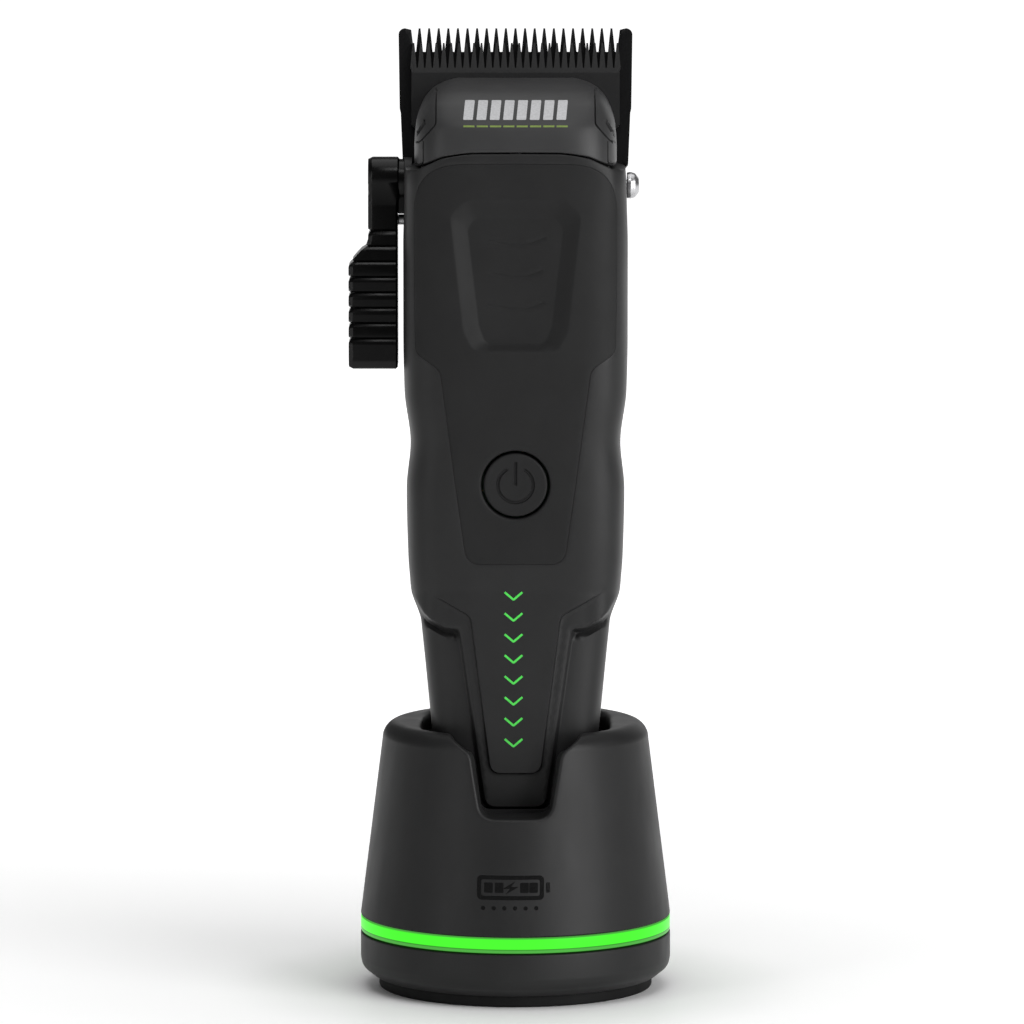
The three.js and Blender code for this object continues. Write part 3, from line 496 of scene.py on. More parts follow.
def lean_y(z, depth):
    """y, at a height, of a plane parallel to the blades at a depth in their frame."""
    return HEEL_Y + (z - HEEL_Z) * math.tan(LEAN) + depth / math.cos(LEAN)


def part_y(z):
    """y of the line where the front and rear housings meet."""
    knee, joined = 157.0, 161.0
    t = np.clip((z - knee) / (joined - knee), 0, 1)
    return PART_LINE_Y * (1 - t) + lean_y(np.maximum(z, joined), -0.45) * t


def cap_edge(x):
    """Height of the line where the cap meets the front housing."""
    return cap_edge_at(np.clip(np.abs(x), 0, CAP_EDGE[-1][0]))[:, 0]


def body_section(z):
    half, front, rear = body_at(z)[0]
    return oval(half, front, rear, z)


class CapSkin(Skin):
    """The head cap, whose v is the length up the middle of its front."""

    def __init__(self):
        heights = np.linspace(CAP[0][0], CAP[-1][0], 400)
        half, front = cap_at(heights).T
        length = np.r_[0, np.cumsum(np.hypot(np.diff(heights), np.diff(front)))]

        def section(v):
            z = np.interp(v, length, heights)
            h = np.interp(v, length, half)
            f = np.interp(v, length, front)
            r = lean_y(z, CUTTER_FACE) - CAP_CLEARANCE
            angle = np.linspace(-np.pi / 2, 0, 160)
            c, s = np.cos(angle), -np.sin(angle)
            x = h * c.clip(0) ** (2 / FRONT_POWER)
            y = r + (f - r) * s.clip(0) ** (2 / FRONT_POWER)
            return np.stack([x, y, np.full(len(angle), z)], 1)

        super().__init__(0.0, length[-1], section)


# ---------------------------------------------------------------- meshes


def make(name, vertices, faces, look, sharp=38):
    """A mesh object from millimetres, smooth but for edges sharper than an angle."""
    mesh = bpy.data.meshes.new(name)
    mesh.from_pydata((np.asarray(vertices) * MM).tolist(), [], faces)
    mesh.validate()
    mesh.update()
    mesh.shade_smooth()
    mesh.set_sharp_from_angle(angle=math.radians(sharp))
    mesh.materials.append(look)
    piece = bpy.data.objects.new(name, mesh)
    bpy.context.scene.collection.objects.link(piece)
    return piece


def place(piece, body, slot, *nodes):
    """Makes a piece ride on its body and hides the CAD nodes it stands for. Its slot is not used."""
    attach(piece, body)
    if nodes:
        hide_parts(*nodes)
    return piece


def triangles(outline, holes, loose, spacing):
    """Triangles over an outline with holes, through its loose points and an even grid."""
    rims = [outline, *holes]
    points = [tuple(p) for rim in rims for p in rim]
    edges = []
    start = 0
    for rim in rims:
        edges += [(start + i, start + (i + 1) % len(rim)) for i in range(len(rim))]
        start += len(rim)

    def within(candidates, margin):
        keep = distance_to(candidates, outline) > margin
        for hole in holes:
            keep &= distance_to(candidates, hole) < -margin
        return candidates[keep]

    if len(loose):
        points += [tuple(p) for p in within(np.concatenate(loose), 0.02)]
    low, high = outline.min(0), outline.max(0)
    xs = np.arange(low[0] + spacing / 3, high[0], spacing)
    zs = np.arange(low[1] + spacing / 3, high[1], spacing)
    grid = np.stack(np.meshgrid(xs, zs), -1)
    grid[1::2, :, 0] += spacing / 2
    grid = within(grid.reshape(-1, 2), spacing * 0.35)
    tree = kdtree.KDTree(len(points))
    for i, (x, z) in enumerate(points):
        tree.insert((x, z, 0), i)
    tree.balance()
    reach = spacing * 0.6
    points += [(x, z) for x, z in grid.tolist() if tree.find((x, z, 0))[2] > reach]

    result = geometry.delaunay_2d_cdt([Vector(p) for p in points], edges, [], 0, 1e-5)
    found = np.array([(p.x, p.y) for p in result[0]])
    faces = np.array(result[2])
    middles = found[faces].mean(1)
    keep = distance_to(middles, outline) > 0
    for hole in holes:
        keep &= distance_to(middles, hole) < 0
    faces = faces[keep]
    used = np.unique(faces)
    number = np.full(len(found), -1)
    number[used] = np.arange(len(used))
    return found[used], number[faces]


def closed_faces(faces, count):
    """The faces of a front, the same ones behind it, count points on, and the rim between."""
    directed = {(a, b) for f in faces.tolist() for a, b in zip(f, f[1:] + f[:1])}
    rim = [[b, a, a + count, b + count] for a, b in directed if (b, a) not in directed]
    return faces.tolist() + (faces[:, ::-1] + count).tolist() + rim


def shell(name, outline, lift, look, spacing=0.8, holes=(), loose=(), thickness=2.0, flip=False):
    """A closed shell over an outline. lift(points, below) gives places at a depth below its face."""
    flat, faces = triangles(outline, list(holes), list(loose), spacing)
    outer = lift(flat, False)
    inner = lift(flat, thickness)
    if flip:
        faces = faces[:, ::-1]
    return make(name, np.concatenate([outer, inner]), closed_faces(faces, len(flat)), look)


def on_skin(skin, drop, moved=lambda places: places):
    """A lift for shell() over a skin. drop(points) is how far its face lies below the skin."""

    def lift(flat, below):
        places = moved(skin.point(*flat.T))
        depth = below or drop(flat)[:, None]
        return places - skin.normal(*flat.T) * depth

    return lift


def turned(name, profile, look, segments=192, axis="Z", centre=(0, 0, 0)):
    """A closed ring or disc turned about Z or X from a profile of [radius, height] points."""
    profile = np.asarray(profile, float)
    vertices, faces, rings = [], [], []
    for radius, height in profile:
        if radius < 1e-6:
            rings.append([len(vertices)])
            vertices.append((0, 0, height))
            continue
        rings.append(list(range(len(vertices), len(vertices) + segments)))
        for k in range(segments):
            angle = 2 * math.pi * k / segments
            vertices.append((radius * math.cos(angle), radius * math.sin(angle), height))
    pairs = list(zip(rings, rings[1:]))
    if profile[0][0] > 1e-6:
        pairs.append((rings[-1], rings[0]))
    for low, high in pairs:
        for k in range(segments):
            n = (k + 1) % segments
            if len(low) == 1 and len(high) > 1:
                faces.append([low[0], high[n], high[k]])
            elif len(low) > 1:
                faces.append([low[k], low[n]] + ([high[0]] if len(high) == 1 else [high[n], high[k]]))
    places = np.array(vertices)
    if axis == "X":
        places = places[:, [2, 0, 1]]
    return make(name, places + np.array(centre), faces, look)


def softened(corners, radii, steps=6):
    """A profile of [radius, height] points with its corners drawn as arcs."""
    points = [Vector(c) for c in corners]
    path = []
    for i, (here, radius) in enumerate(zip(points, radii)):
        before = points[i - 1] - here
        after = points[(i + 1) % len(points)] - here
        path += corner_arc(before, here, after, radius, steps) if radius > 0 else [here]
    return [tuple(p) for p in path]


# ---------------------------------------------------------------- clipper body

FRONT = Skin(36.0, 170.0, body_section)
REAR = Skin(36.0, 164.0, lambda z: body_section(z)[::-1], outward=-1)
HOUSING_BOTTOM = 38.1
REAR_TOP = 161.3
EDGE = 0.3  # the radius of the housings' and the cap's edges
PANEL_HALF = [(0, 166.8), (20.0, 166.6), (19.95, 140.0), (19.75, 129.2),
              (14.9, 126.0), (11.8, 102.4), (9.7, 87.2), (0, 87.2)]
PANEL_RADII = [0, 9.5, 0, 2.6, 3.0, 0, 3.4, 0]
PANEL_GAP = 0.015
PANEL_EDGE = 0.07
BUTTON_Z = 103.1
BUTTON_RADIUS = 6.3
BUTTON_GROOVE = 0.5

# The tongue that runs down the front of the neck, and the lower frame round it.
TONGUE_HALF = [(0, 45.4), (4.85, 45.4), (8.85, 76.9), (12.0, 78.6),
               (16.9, 81.4), (30, 88.8), (30, 110), (0, 110)]
TONGUE_RADII = [0, 2.3, 2.6, 0, 0, 0, 0, 0]
COLLAR_HALF = [(0, 38.4), (5.95, 38.4), (9.9, 66.6), (11.0, 74.1), (13.6, 74.3), (16.8, 75.9),
               (18.3, 77.3), (20.6, 81.0), (30, 92.0), (30, 110), (0, 110)]
COLLAR_RADII = [0, 2.6, 0, 1.0, 2.0, 2.0, 2.0, 0, 0, 0, 0]
TONGUE_STEP = 0.65


def both_halves(half, radii):
    """Rounds a mirrored outline, giving each corner its radius."""
    doubled = [r for (x, _), r in zip(half, radii) if abs(x) > 1e-6]
    return rounded(mirrored(half), list(radii) + doubled[::-1])


TONGUE = both_halves(TONGUE_HALF, TONGUE_RADII)
COLLAR = both_halves(COLLAR_HALF, COLLAR_RADII)
PANEL = both_halves(PANEL_HALF, PANEL_RADII)


def full_front(x, z):
    """y of the body's main front face carried down over the neck."""
    t = np.clip((z - 38.0) / (81.5 - 38.0), 0, 1)
    half = 19.4 + 1.4 * t
    front = -17.15 - 0.35 * t
    depth = -front - 0.2
    inside = np.clip(1 - (np.abs(x) / half).clip(0, 0.999) ** FRONT_POWER, 0, 1)
    return -0.2 - depth * inside ** (1 / FRONT_POWER)


def neck_raise(place):
    """Moves points of the neck's front forward to the tongue and the collar round it."""
    low = (place[:, 2] < 86.0) & (place[:, 1] < 0)
    p = place[low]
    flat = p[:, [0, 2]]
    from_collar = distance_to(flat, COLLAR)
    collar = smooth((from_collar + 0.65) / 0.85)
    tongue = smooth((distance_to(flat, TONGUE) + 0.32) / 0.38)
    fading = 1 - smooth((np.abs(p[:, 0]) - 13.5) / 4.5)
    face = full_front(p[:, 0], p[:, 2])
    level = face + TONGUE_STEP * (1 - tongue) * fading
    settle = 1 - smooth((p[:, 2] - 82.3) / 2.6)
    target = np.minimum(level * settle + p[:, 1] * (1 - settle), p[:, 1])
    step = TONGUE_STEP * 0.7 * (1 - tongue) * fading * (1 - settle)
    under = smooth((p[:, 2] - 71.5) / 2.0) * smooth((np.abs(p[:, 0]) - 10.6) / 1.0)
    trench = 1.0 * under * smooth(1 - np.abs(from_collar + 1.15) / 0.9)
    p[:, 1] = p[:, 1] * (1 - collar) + (target + step) * collar + trench
    place[low] = p
    return place


def side_edge(skin, top):
    """A housing's side edge up to a height, in the skin's own u and v."""
    heights = np.append(np.arange(HOUSING_BOTTOM, top, 0.6), top)
    return np.stack([skin.edge(part_y, heights) - SIDE_SEAM, heights], 1)


def housing_outline(side, head):
    """A housing's whole edge, from its right side edge and the right half of its head."""
    foot = [(u, HOUSING_BOTTOM) for u in np.linspace(0, side[0][0], 60)[1:-1]]
    return np.array([(0, HOUSING_BOTTOM)] + mirrored(foot + side.tolist() + head))


def build_front_housing():
    xs = np.linspace(20.6, 0, 60)
    arch = FRONT.unrolled(np.stack([xs, cap_edge(xs) - SEAM], 1))
    outline = housing_outline(side_edge(FRONT, CAP_EDGE[-1][1] - SEAM), arch.tolist())
    hole = grown(FRONT.unrolled(PANEL), PANEL_GAP)

    def drop(flat):
        at_hole = fillet(-distance_to(flat, hole), PANEL_EDGE)
        return fillet(distance_to(flat, outline), EDGE) + at_hole

    loose = [grown(outline, -d) for d in fillet_steps(EDGE, 4)]
    loose += [grown(hole, d) for d in fillet_steps(PANEL_EDGE, 3)]
    beside_tongue = (-0.34, -0.25, -0.16, -0.06, 0.04, 0.12)
    beside_collar = (-2.0, -1.6, -1.15, -0.9, -0.7, -0.55, -0.4, -0.25, -0.1, 0.05, 0.2)
    for line, offsets in ((TONGUE, beside_tongue), (COLLAR, beside_collar)):
        for moved in fine_lines([line], [-d for d in offsets]):
            on_neck = (moved[:, 1] < 84) & (np.abs(moved[:, 0]) < 20)
            loose.append(FRONT.unrolled(moved[on_neck]))
    lift = on_skin(FRONT, drop, neck_raise)
    piece = shell("front_shell", outline, lift, LOOKS["matte_black"], 0.75, [hole], loose)
    place(piece, "clipper", "matte_black", "front_housing")


SCREW_WELLS = [(-13.4, 60), (13.4, 60), (-15.6, 140), (15.6, 140)]


def build_rear_housing():
    side = side_edge(REAR, REAR_TOP)
    head = [(u, REAR_TOP) for u in np.linspace(side[-1][0], 0, 60)[1:]]
    outline = housing_outline(side, head)
    holes = [REAR.unrolled(circle(x, z, 2.5, 48)) for x, z in SCREW_WELLS]

    def drop(flat):
        total = fillet(distance_to(flat, outline), EDGE)
        for hole in holes:
            total += fillet(-distance_to(flat, hole), EDGE)
        return total

    steps = fillet_steps(EDGE, 4)
    loose = [grown(outline, -d) for d in steps] + fine_lines(holes, steps)
    lift = on_skin(REAR, drop)
    piece = shell("rear_shell", outline, lift, LOOKS["matte_black"], 0.9, holes, loose, flip=True)
    place(piece, "clipper", "matte_black", "rear_housing")


RECESS_RIM = [(0, 159.7), (9.6, 159.7), (12.9, 156.6), (10.3, 133.6), (8.2, 129.7), (0, 129.7)]
RECESS_RIM_RADII = [0, 3.2, 2.5, 3.2, 2.5, 0]
RECESS_FLOOR = [(0, 156.2), (8.0, 156.2), (9.5, 153.8), (7.2, 134.6), (5.9, 131.0), (0, 131.0)]
RECESS_FLOOR_RADII = [0, 1.8, 1.8, 2.0, 2.0, 0]
RECESS_DEPTH = 1.5


def build_panel():
    outline = FRONT.unrolled(PANEL)
    hole = FRONT.unrolled(circle(0, BUTTON_Z, BUTTON_RADIUS + BUTTON_GROOVE, 120))
    rim = FRONT.unrolled(both_halves(RECESS_RIM, RECESS_RIM_RADII))
    floor = FRONT.unrolled(both_halves(RECESS_FLOOR, RECESS_FLOOR_RADII))
    grips = [rounded([(-5.4 + k, z), (-1.5, z - 0.7), (2.5, z - 0.6), (5.6 - k, z + 0.5)], 4, 0.3, False)
             for k, z in ((0, 151.6), (0.4, 145.2), (0, 138.8))]
    grips = [FRONT.unrolled(line) for line in grips]
    mouth = 0.5

    def drop(flat):
        total = fillet(distance_to(flat, outline), PANEL_EDGE) + fillet(-distance_to(flat, hole), mouth)
        from_rim = distance_to(flat, rim)
        to_floor = -distance_to(flat, floor)
        share = from_rim / (from_rim + to_floor.clip(0) + 1e-9)
        share = np.where(from_rim < 0, 0, np.where(to_floor < 0, 1, share))
        total += RECESS_DEPTH * (0.7 * share + 0.3 * smooth(share))
        for line in grips:
            total += 0.14 * groove(flat, line, 0.35, 1, 2) ** 2
        return total

    loose = [grown(outline, -d) for d in fillet_steps(PANEL_EDGE, 3)]
    loose += [grown(hole, d) for d in fillet_steps(mouth, 4)]
    loose += fine_lines([rim], (-0.3, -0.1, 0, 0.3, -0.7, -1.2))
    loose += fine_lines([floor], (-0.3, 0, 0.1, 0.3, 0.7))
    loose += fine_lines(grips, (-0.35, -0.2, 0, 0.2, 0.35), False)
    look = LOOKS["soft_touch_black"]
    piece = shell("grip_panel", outline, on_skin(FRONT, drop), look, 0.7, [hole], loose, 1.8)
    place(piece, "clipper", "soft_touch_black", "soft_touch_panel")


def build_button():
    outline = circle(0, BUTTON_Z, BUTTON_RADIUS, 160)
    edge = 0.4
    ring = 3.5
    opening = math.radians(32)
    turns = np.linspace(math.pi / 2 + opening, math.pi * 5 / 2 - opening, 90)
    arc = np.stack([ring * np.cos(turns), BUTTON_Z + ring * np.sin(turns)], 1)
    bar = np.stack([np.zeros(24), np.linspace(BUTTON_Z + 0.2, BUTTON_Z + 4.3, 24)], 1)
    face_y = float(body_at(BUTTON_Z)[0][1]) + 0.08
    slope = float(body_at(BUTTON_Z + 3)[0][1] - body_at(BUTTON_Z - 3)[0][1]) / 6

    def lift(flat, below):
        y = face_y + slope * (flat[:, 1] - BUTTON_Z)
        drop = below
        if not below:
            radius = np.hypot(flat[:, 0], flat[:, 1] - BUTTON_Z)
            drop = fillet(distance_to(flat, outline), edge) + 0.25 * (1 - (radius / BUTTON_RADIUS) ** 2)
            for line in (arc, bar):
                drop += groove(flat, line, 0.31, 0.38)
        return np.stack([flat[:, 0], y + drop, flat[:, 1]], 1)

    loose = [grown(outline, -d) for d in fillet_steps(edge, 4)]
    loose += fine_lines([arc, bar], (-0.33, -0.28, -0.17, 0, 0.17, 0.28, 0.33), False)
    piece = shell("power_key", outline, lift, LOOKS["soft_touch_black"], 0.35, (), loose, 3.2)
    place(piece, "power_button", "soft_touch_black", "power_button")


# ---------------------------------------------------------------- head cap


def build_cap():
    skin = CapSkin()
    top_v = skin.v[-1] - 0.05
    xs = np.linspace(0, 20.05, 60)
    arch = skin.unrolled(np.stack([xs, cap_edge(xs) + SEAM], 1)).tolist()
    rear_v = np.arange(arch[-1][1] + 0.4, top_v, 0.4)
    rear = []
    for v in [*rear_v, top_v]:
        row = skin.point(skin.u, np.full(len(skin.u), v))
        behind = lean_y(row[:, 2], CUTTER_FACE) - CAP_CLEARANCE - row[:, 1] < 0.02
        rear.append((skin.u[behind.argmax()] if behind.any() else skin.u[-1], v))
    crown = [(u, top_v) for u in np.linspace(rear[-1][0], 0, 40)[1:]]
    outline = np.array(mirrored(arch + rear + crown))
    clips, dashes = [], []
    for side in (-1, 1):
        clip = rounded([(15.7, 181.0), (15.7, 174.4), (18.7, 170.9), (19.7, 170.4)], 1.4, 0.3, False)
        strip = rounded([(18.2, 170.6), (18.2, 166.6), (19.6, 166.2)], 0.6, 0.3, False)
        dash = rounded([(18.1, 174.4), (19.4, 172.2)], 0, 0.2, False)
        clips += [skin.unrolled(line * (side, 1)) for line in (clip, strip)]
        dashes.append(skin.unrolled(dash * (side, 1)))

    def drop(flat):
        total = fillet(distance_to(flat, outline), EDGE)
        for line in clips:
            total += groove(flat, line, 0.19, 0.5)
        for line in dashes:
            total += groove(flat, line, 0.55, 1.3, 6)
        return total

    loose = [grown(outline, -d) for d in fillet_steps(EDGE, 4)]
    loose += fine_lines(clips, (-0.2, -0.16, -0.08, 0, 0.08, 0.16, 0.2), False)
    loose += fine_lines(dashes, (-0.6, -0.52, -0.4, 0, 0.4, 0.52, 0.6), False)
    lift = on_skin(skin, drop)
    piece = shell("head_cap_shell", outline, lift, LOOKS["cap_grey"], 0.6, (), loose, 1.4)
    place(piece, "clipper", "cap_grey", "head_cap")
    return skin


# ---------------------------------------------------------------- printed marks


def mark(name, loops, lift, look, body, slot, holes=()):
    """Thin ink on a surface. lift(points, below) gives places on the face, or just under it."""
    vertices, faces = [], []
    for loop in loops:
        inner = [h for h in holes if distance_to(h[:1], loop)[0] > 0]
        flat, found = triangles(loop, inner, [], 0.45)
        outer, back = lift(flat, 0.03), lift(flat, -0.03)
        start = len(vertices)
        vertices += outer.tolist() + back.tolist()
        faces += [[start + i for i in face] for face in closed_faces(found, len(flat))]
    return place(make(name, vertices, faces, look), body, slot)


def stroke(points, width, radius=0.4):
    """An open line drawn as a closed outline of a width."""
    line = rounded(points, radius, 0.3, False)
    return np.concatenate([beside(line, width / 2), beside(line, -width / 2)[::-1]])


def build_tongue_mark():
    def lift(flat, above):
        y = full_front(flat[:, 0], flat[:, 1]) - above
        return np.stack([flat[:, 0], y, flat[:, 1]], 1)

    pitch, count, middle, half, rise = 4.2, 8, -0.4, 1.75, 0.75
    loops = []
    for i in range(count):
        z = 80.9 - i * pitch
        chevron = [(middle - half, z + rise), (middle, z - rise), (middle + half, z + rise)]
        loops.append(stroke(chevron, 0.42, 0.2))
    mark("tongue_chevrons", loops, lift, MARK_GREEN, "clipper", "matte_black")


def build_cap_mark(skin):
    def lift(flat, above):
        uv = skin.unrolled(flat)
        return skin.point(uv[:, 0], uv[:, 1]) + skin.normal(uv[:, 0], uv[:, 1]) * above

    bars, dashes = [], []
    count, pitch = 8, 2.62
    low, high = 175.3, 178.9
    dash_low, dash_high = 173.9, 174.25
    for i in range(count):
        x = (i - (count - 1) / 2) * pitch
        bar = [(x - 1.15, low), (x + 0.75, low), (x + 1.15, high), (x - 0.75, high)]
        bars.append(rounded(bar, 0.2, 0.3))
        dash = [(x - 1.1, dash_low), (x + 1.1, dash_low), (x + 1.1, dash_high), (x - 1.1, dash_high)]
        dashes.append(rounded(dash, 0.1, 0.3))
    mark("cap_scale", bars, lift, MARK_GREY, "clipper", "cap_grey")
    mark("cap_scale_line", dashes, lift, MARK_OLIVE, "clipper", "cap_grey")


# ---------------------------------------------------------------- blades


def lean(places):
    """Moves points from the blades' own frame into place."""
    c, s = math.cos(LEAN), math.sin(LEAN)
    x, y, z = np.asarray(places, float).T
    return np.stack([x, y * c + z * s + HEEL_Y, -y * s + z * c + HEEL_Z], 1)


def comb(teeth, pitch, root, tip, root_half, tip_half):
    """The edge of a row of pointed teeth, from left to right."""
    mid_half = tip_half + (root_half - tip_half) * 0.42
    middle = root + (tip - root) * 0.62
    points = []
    for i in range(teeth):
        x = (i - (teeth - 1) / 2) * pitch
        points += [(x - root_half, root), (x - mid_half, middle), (x - tip_half, tip),
                   (x + tip_half, tip), (x + mid_half, middle), (x + root_half, root)]
    return points


def plate(name, outline, holes, front, back, look, chamfer=0, loose=()):
    """A blade from a flat outline. front and back give its faces' y in the blades' frame."""

    def lift(flat, below):
        if below:
            y = back(flat[:, 1])
        else:
            y = front(flat[:, 1]) + np.clip(chamfer - distance_to(flat, outline), 0, chamfer) * 0.8
        return lean(np.stack([flat[:, 0], y, flat[:, 1]], 1))

    return shell(name, outline, lift, look, 1.2, holes, [grown(outline, -chamfer), *loose], 1.0)


def build_comb_blade():
    length, root, teeth, pitch, guard = 28.2, 23.4, 21, 1.92, 1.3
    turn = np.linspace(0, math.pi / 2, 12)
    arc = [(22.1 + guard * math.sin(a), length - guard + guard * math.cos(a)) for a in turn]
    side = [(23.15, 12.0), (22.95, 11.2), (22.5, 0.6), (22.0, 0.0)]
    side = rounded([arc[-1]] + side, 0.4, 1.0, False)[1:].tolist()
    half = [(20.31, root), (20.86, length - 0.3)] + arc + side
    left = [(-x, z) for x, z in half][::-1]
    outline = np.array(left + comb(teeth, pitch, root, length, 0.7, 0.19) + half, float)
    holes = [circle(x, 2.6, 1.5, 32) for x in (-10.5, 10.5)]

    def front(z):
        return np.zeros(len(z))

    def back(z):
        return 1.8 - 1.1 * smooth((z - 20.5) / 8.5)

    piece = plate("comb_blade", outline, holes, front, back, LOOKS["blade_black"], 0.09)
    place(piece, "blade_set", "blade_black", "stationary_blade")


def build_cutter():
    teeth, pitch, root, tip, bottom, crease = 28, 1.51, 19.8, 25.05, 5.5, 18.75
    shoulder, cheek = root - 0.4, 8.4
    end = teeth * pitch / 2 - 0.35
    outline = [(-end, shoulder)] + comb(teeth, pitch, root, tip, 0.62, 0.16)
    outline += [(end, shoulder), (end, cheek), (end - 2.6, bottom), (2.6 - end, bottom), (-end, cheek)]
    outline = np.array(outline, float)

    def front(z):
        return CUTTER_FACE + 1.15 * np.clip((z - crease) / (tip - crease), 0, 1)

    def back(z):
        return np.full(len(z), -0.1)

    ridge = np.stack([np.linspace(-end + 0.1, end - 0.1, 60), np.full(60, crease)], 1)
    loose = [ridge, ridge + (0, 0.06), ridge - (0, 0.06)]
    piece = plate("cutter", outline, (), front, back, LOOKS["cutter_grey"], 0, loose)
    piece.data.set_sharp_from_angle(angle=math.radians(6))
    place(piece, "cutter", "cutter_grey", "cutter_blade")


# ---------------------------------------------------------------- taper lever


LEVER_FOOT = 124.8
LEVER_TOP = 170.0
# The lever's half depth, its outer face and its inner face, each by height.
LEVER_DEPTH = np.array([[LEVER_FOOT, 4.3], [126.0, 5.1], [146.0, 5.2], [151.5, 4.7], [158.0, 3.9]])
LEVER_OUTER = np.array([[LEVER_FOOT, -33.2], [145.2, -33.2], [145.9, -33.0],
                        [149.7, -29.6], [150.5, -29.3], [LEVER_TOP, -29.3]])
LEVER_INNER = np.array([[LEVER_FOOT, -23.4], [158.0, -23.4], [158.4, -23.05], [LEVER_TOP, -23.05]])
LEVER_NOTCHES = [130.97 + 3.07 * i for i in range(8)]
NOTCH_RISE, NOTCH_FALL = 0.95, 0.25  # how far a notch's long and short slopes reach
NOTCH_POINTS = (-NOTCH_RISE, -0.5, 0, NOTCH_FALL)


def notched(z):
    """How deep, from 0 to 1, the grips are cut at a height: a long slope below, a short above."""
    deep = np.zeros(len(z))
    for at in LEVER_NOTCHES:
        side = np.where(z < at, (at - z) / NOTCH_RISE, (z - at) / NOTCH_FALL)
        deep = np.maximum(deep, 1 - side)
    return deep.clip(0)


def lever_outline():
    """The lever seen from its side, as y and z."""
    hub, hub_z = 4.35, LEVER_Z + 0.3
    turn = np.linspace(-0.15, math.pi + 0.15, 40)
    arc = [(LEVER_Y + hub * math.cos(a), hub_z + hub * math.sin(a)) for a in turn]
    heights = set(np.arange(125.6, 158.0, 0.5).round(3))
    for at in LEVER_NOTCHES:
        heights -= {h for h in heights if -1.1 < h - at < 0.4}
        heights |= {at + dz for dz in NOTCH_POINTS}
    heights = np.array(sorted(heights))
    depths = np.interp(heights, LEVER_DEPTH[:, 0], LEVER_DEPTH[:, 1]) - 0.5 * notched(heights)
    rear = list(zip(LEVER_Y - depths, heights))[::-1]
    front = list(zip(LEVER_Y + depths, heights))
    foot = [(LEVER_Y + y, z) for y, z in ((-4.6, 125.0), (-4.0, LEVER_FOOT), (4.0, LEVER_FOOT), (4.6, 125.0))]
    return np.array(arc + rear + foot + front, float)


def build_lever():
    outline = lever_outline()
    bevel_in, bevel_out, inner_bevel, plain_z = 0.46, 0.9, 0.4, 153

    def lift(flat, below):
        z = flat[:, 1]
        inward = distance_to(flat, outline)
        if below:
            x = np.interp(z, *LEVER_INNER.T) - np.clip(inner_bevel - inward, 0, inner_bevel)
        else:
            x = np.interp(z, *LEVER_OUTER.T) + np.clip(1 - inward / bevel_in, 0, 1) * bevel_out
            x = x + 0.5 * notched(z) * (z < plain_z)
        return np.stack([x, flat[:, 0], z], 1)

    ys = np.arange(LEVER_Y - 4.6, LEVER_Y + 4.6, 0.4)
    rungs = [np.stack([ys, np.full(len(ys), at + dz)], 1) for at in LEVER_NOTCHES for dz in NOTCH_POINTS]
    loose = [grown(outline, -d) for d in (0.15, 0.3, bevel_in)] + rungs
    piece = shell("lever", outline, lift, LOOKS["gloss_black"], 0.6, (), loose, 1.0, flip=True)
    piece.data.set_sharp_from_angle(angle=math.radians(28))
    place(piece, "taper_lever", "gloss_black", "taper_lever")


def build_washer():
    """A keyed washer between the hub and the body, with a tab below the hub."""
    turn = np.linspace(-0.9, math.pi + 0.9, 50)
    key = [(LEVER_Y + 4.2 * math.cos(a), LEVER_Z + 4.2 * math.sin(a)) for a in turn]
    key += [(LEVER_Y - 2.5, 155.6), (LEVER_Y + 2.5, 155.6)]
    key = rounded(key, [0] * 50 + [0.5, 0.5], 0.4)

    def lift(flat, below):
        if below:
            x = np.full(len(flat), -22.15)
        else:
            x = -23.4 + np.clip(0.2 - distance_to(flat, key), 0, 0.2)
        return np.stack([x, flat[:, 0], flat[:, 1]], 1)

    piece = shell("washer", key, lift, LOOKS["gloss_black"], 0.6, (), [grown(key, -0.2)], 1.0, flip=True)
    place(piece, "taper_lever", "gloss_black", "lever_washer")


def build_side_fittings():
    boss = softened([(1.9, -22.12), (4.5, -22.12), (4.5, -20.6), (1.9, -20.6)], [0, 0.2, 0, 0])
    piece = turned("lever_boss", boss, LOOKS["matte_black"], 96, "X", (0, LEVER_Y, LEVER_Z))
    place(piece, "clipper", "matte_black")

    knob = [(0, 20.0), (1.1, 20.0), (1.1, 22.1), (2.55, 22.15),
            (2.65, 22.9), (2.4, 23.8), (1.4, 24.55), (0, 24.6)]
    knob = softened(knob, [0, 0, 0, 0.2, 0.4, 0.8, 1.2, 0])
    piece = turned("side_knob", knob, LOOKS["chrome"], 96, "X", (0, -1.5, 161.2))
    place(piece, "clipper", "chrome", "side_screw")

    pin = softened([(0, -23.38), (1.05, -23.38), (1.05, -21.2), (0, -21.2)], [0, 0.2, 0.1, 0])
    piece = turned("stop_pin", pin, LOOKS["steel"], 48, "X", (0, LEVER_Y, 154.3))
    place(piece, "detent_plunger", "steel", "detent_plunger")


# ---------------------------------------------------------------- dock

NOTCH_HALF = [(0, 37.8), (6.9, 37.8), (8.5, 47.0), (9.0, 50.2), (13.6, 54.4), (14.0, 62.0), (0, 62.0)]
NOTCH_RADII = [0, 3.4, 3.0, 3.5, 0, 0, 0]


def dock_radius(z):
    slope = (DOCK_RADIUS - RIM_RADIUS) / (DOCK_TOP - RIM_HEIGHT - DOCK_BOTTOM)
    return DOCK_RADIUS - (z - DOCK_BOTTOM) * slope


def well_edge(angle):
    """How far the well's rim is from the axis, in a direction counted from the front middle."""
    half, front, rear = DOCK_WELL[1][1:]
    line = oval(half, front, rear, DOCK_TOP, 400)
    middle = (front + rear) / 2
    reach = np.hypot(line[:, 0], line[:, 1])
    turn = np.arctan2(line[:, 0], -line[:, 1])
    return np.interp(np.abs(angle), turn, reach)


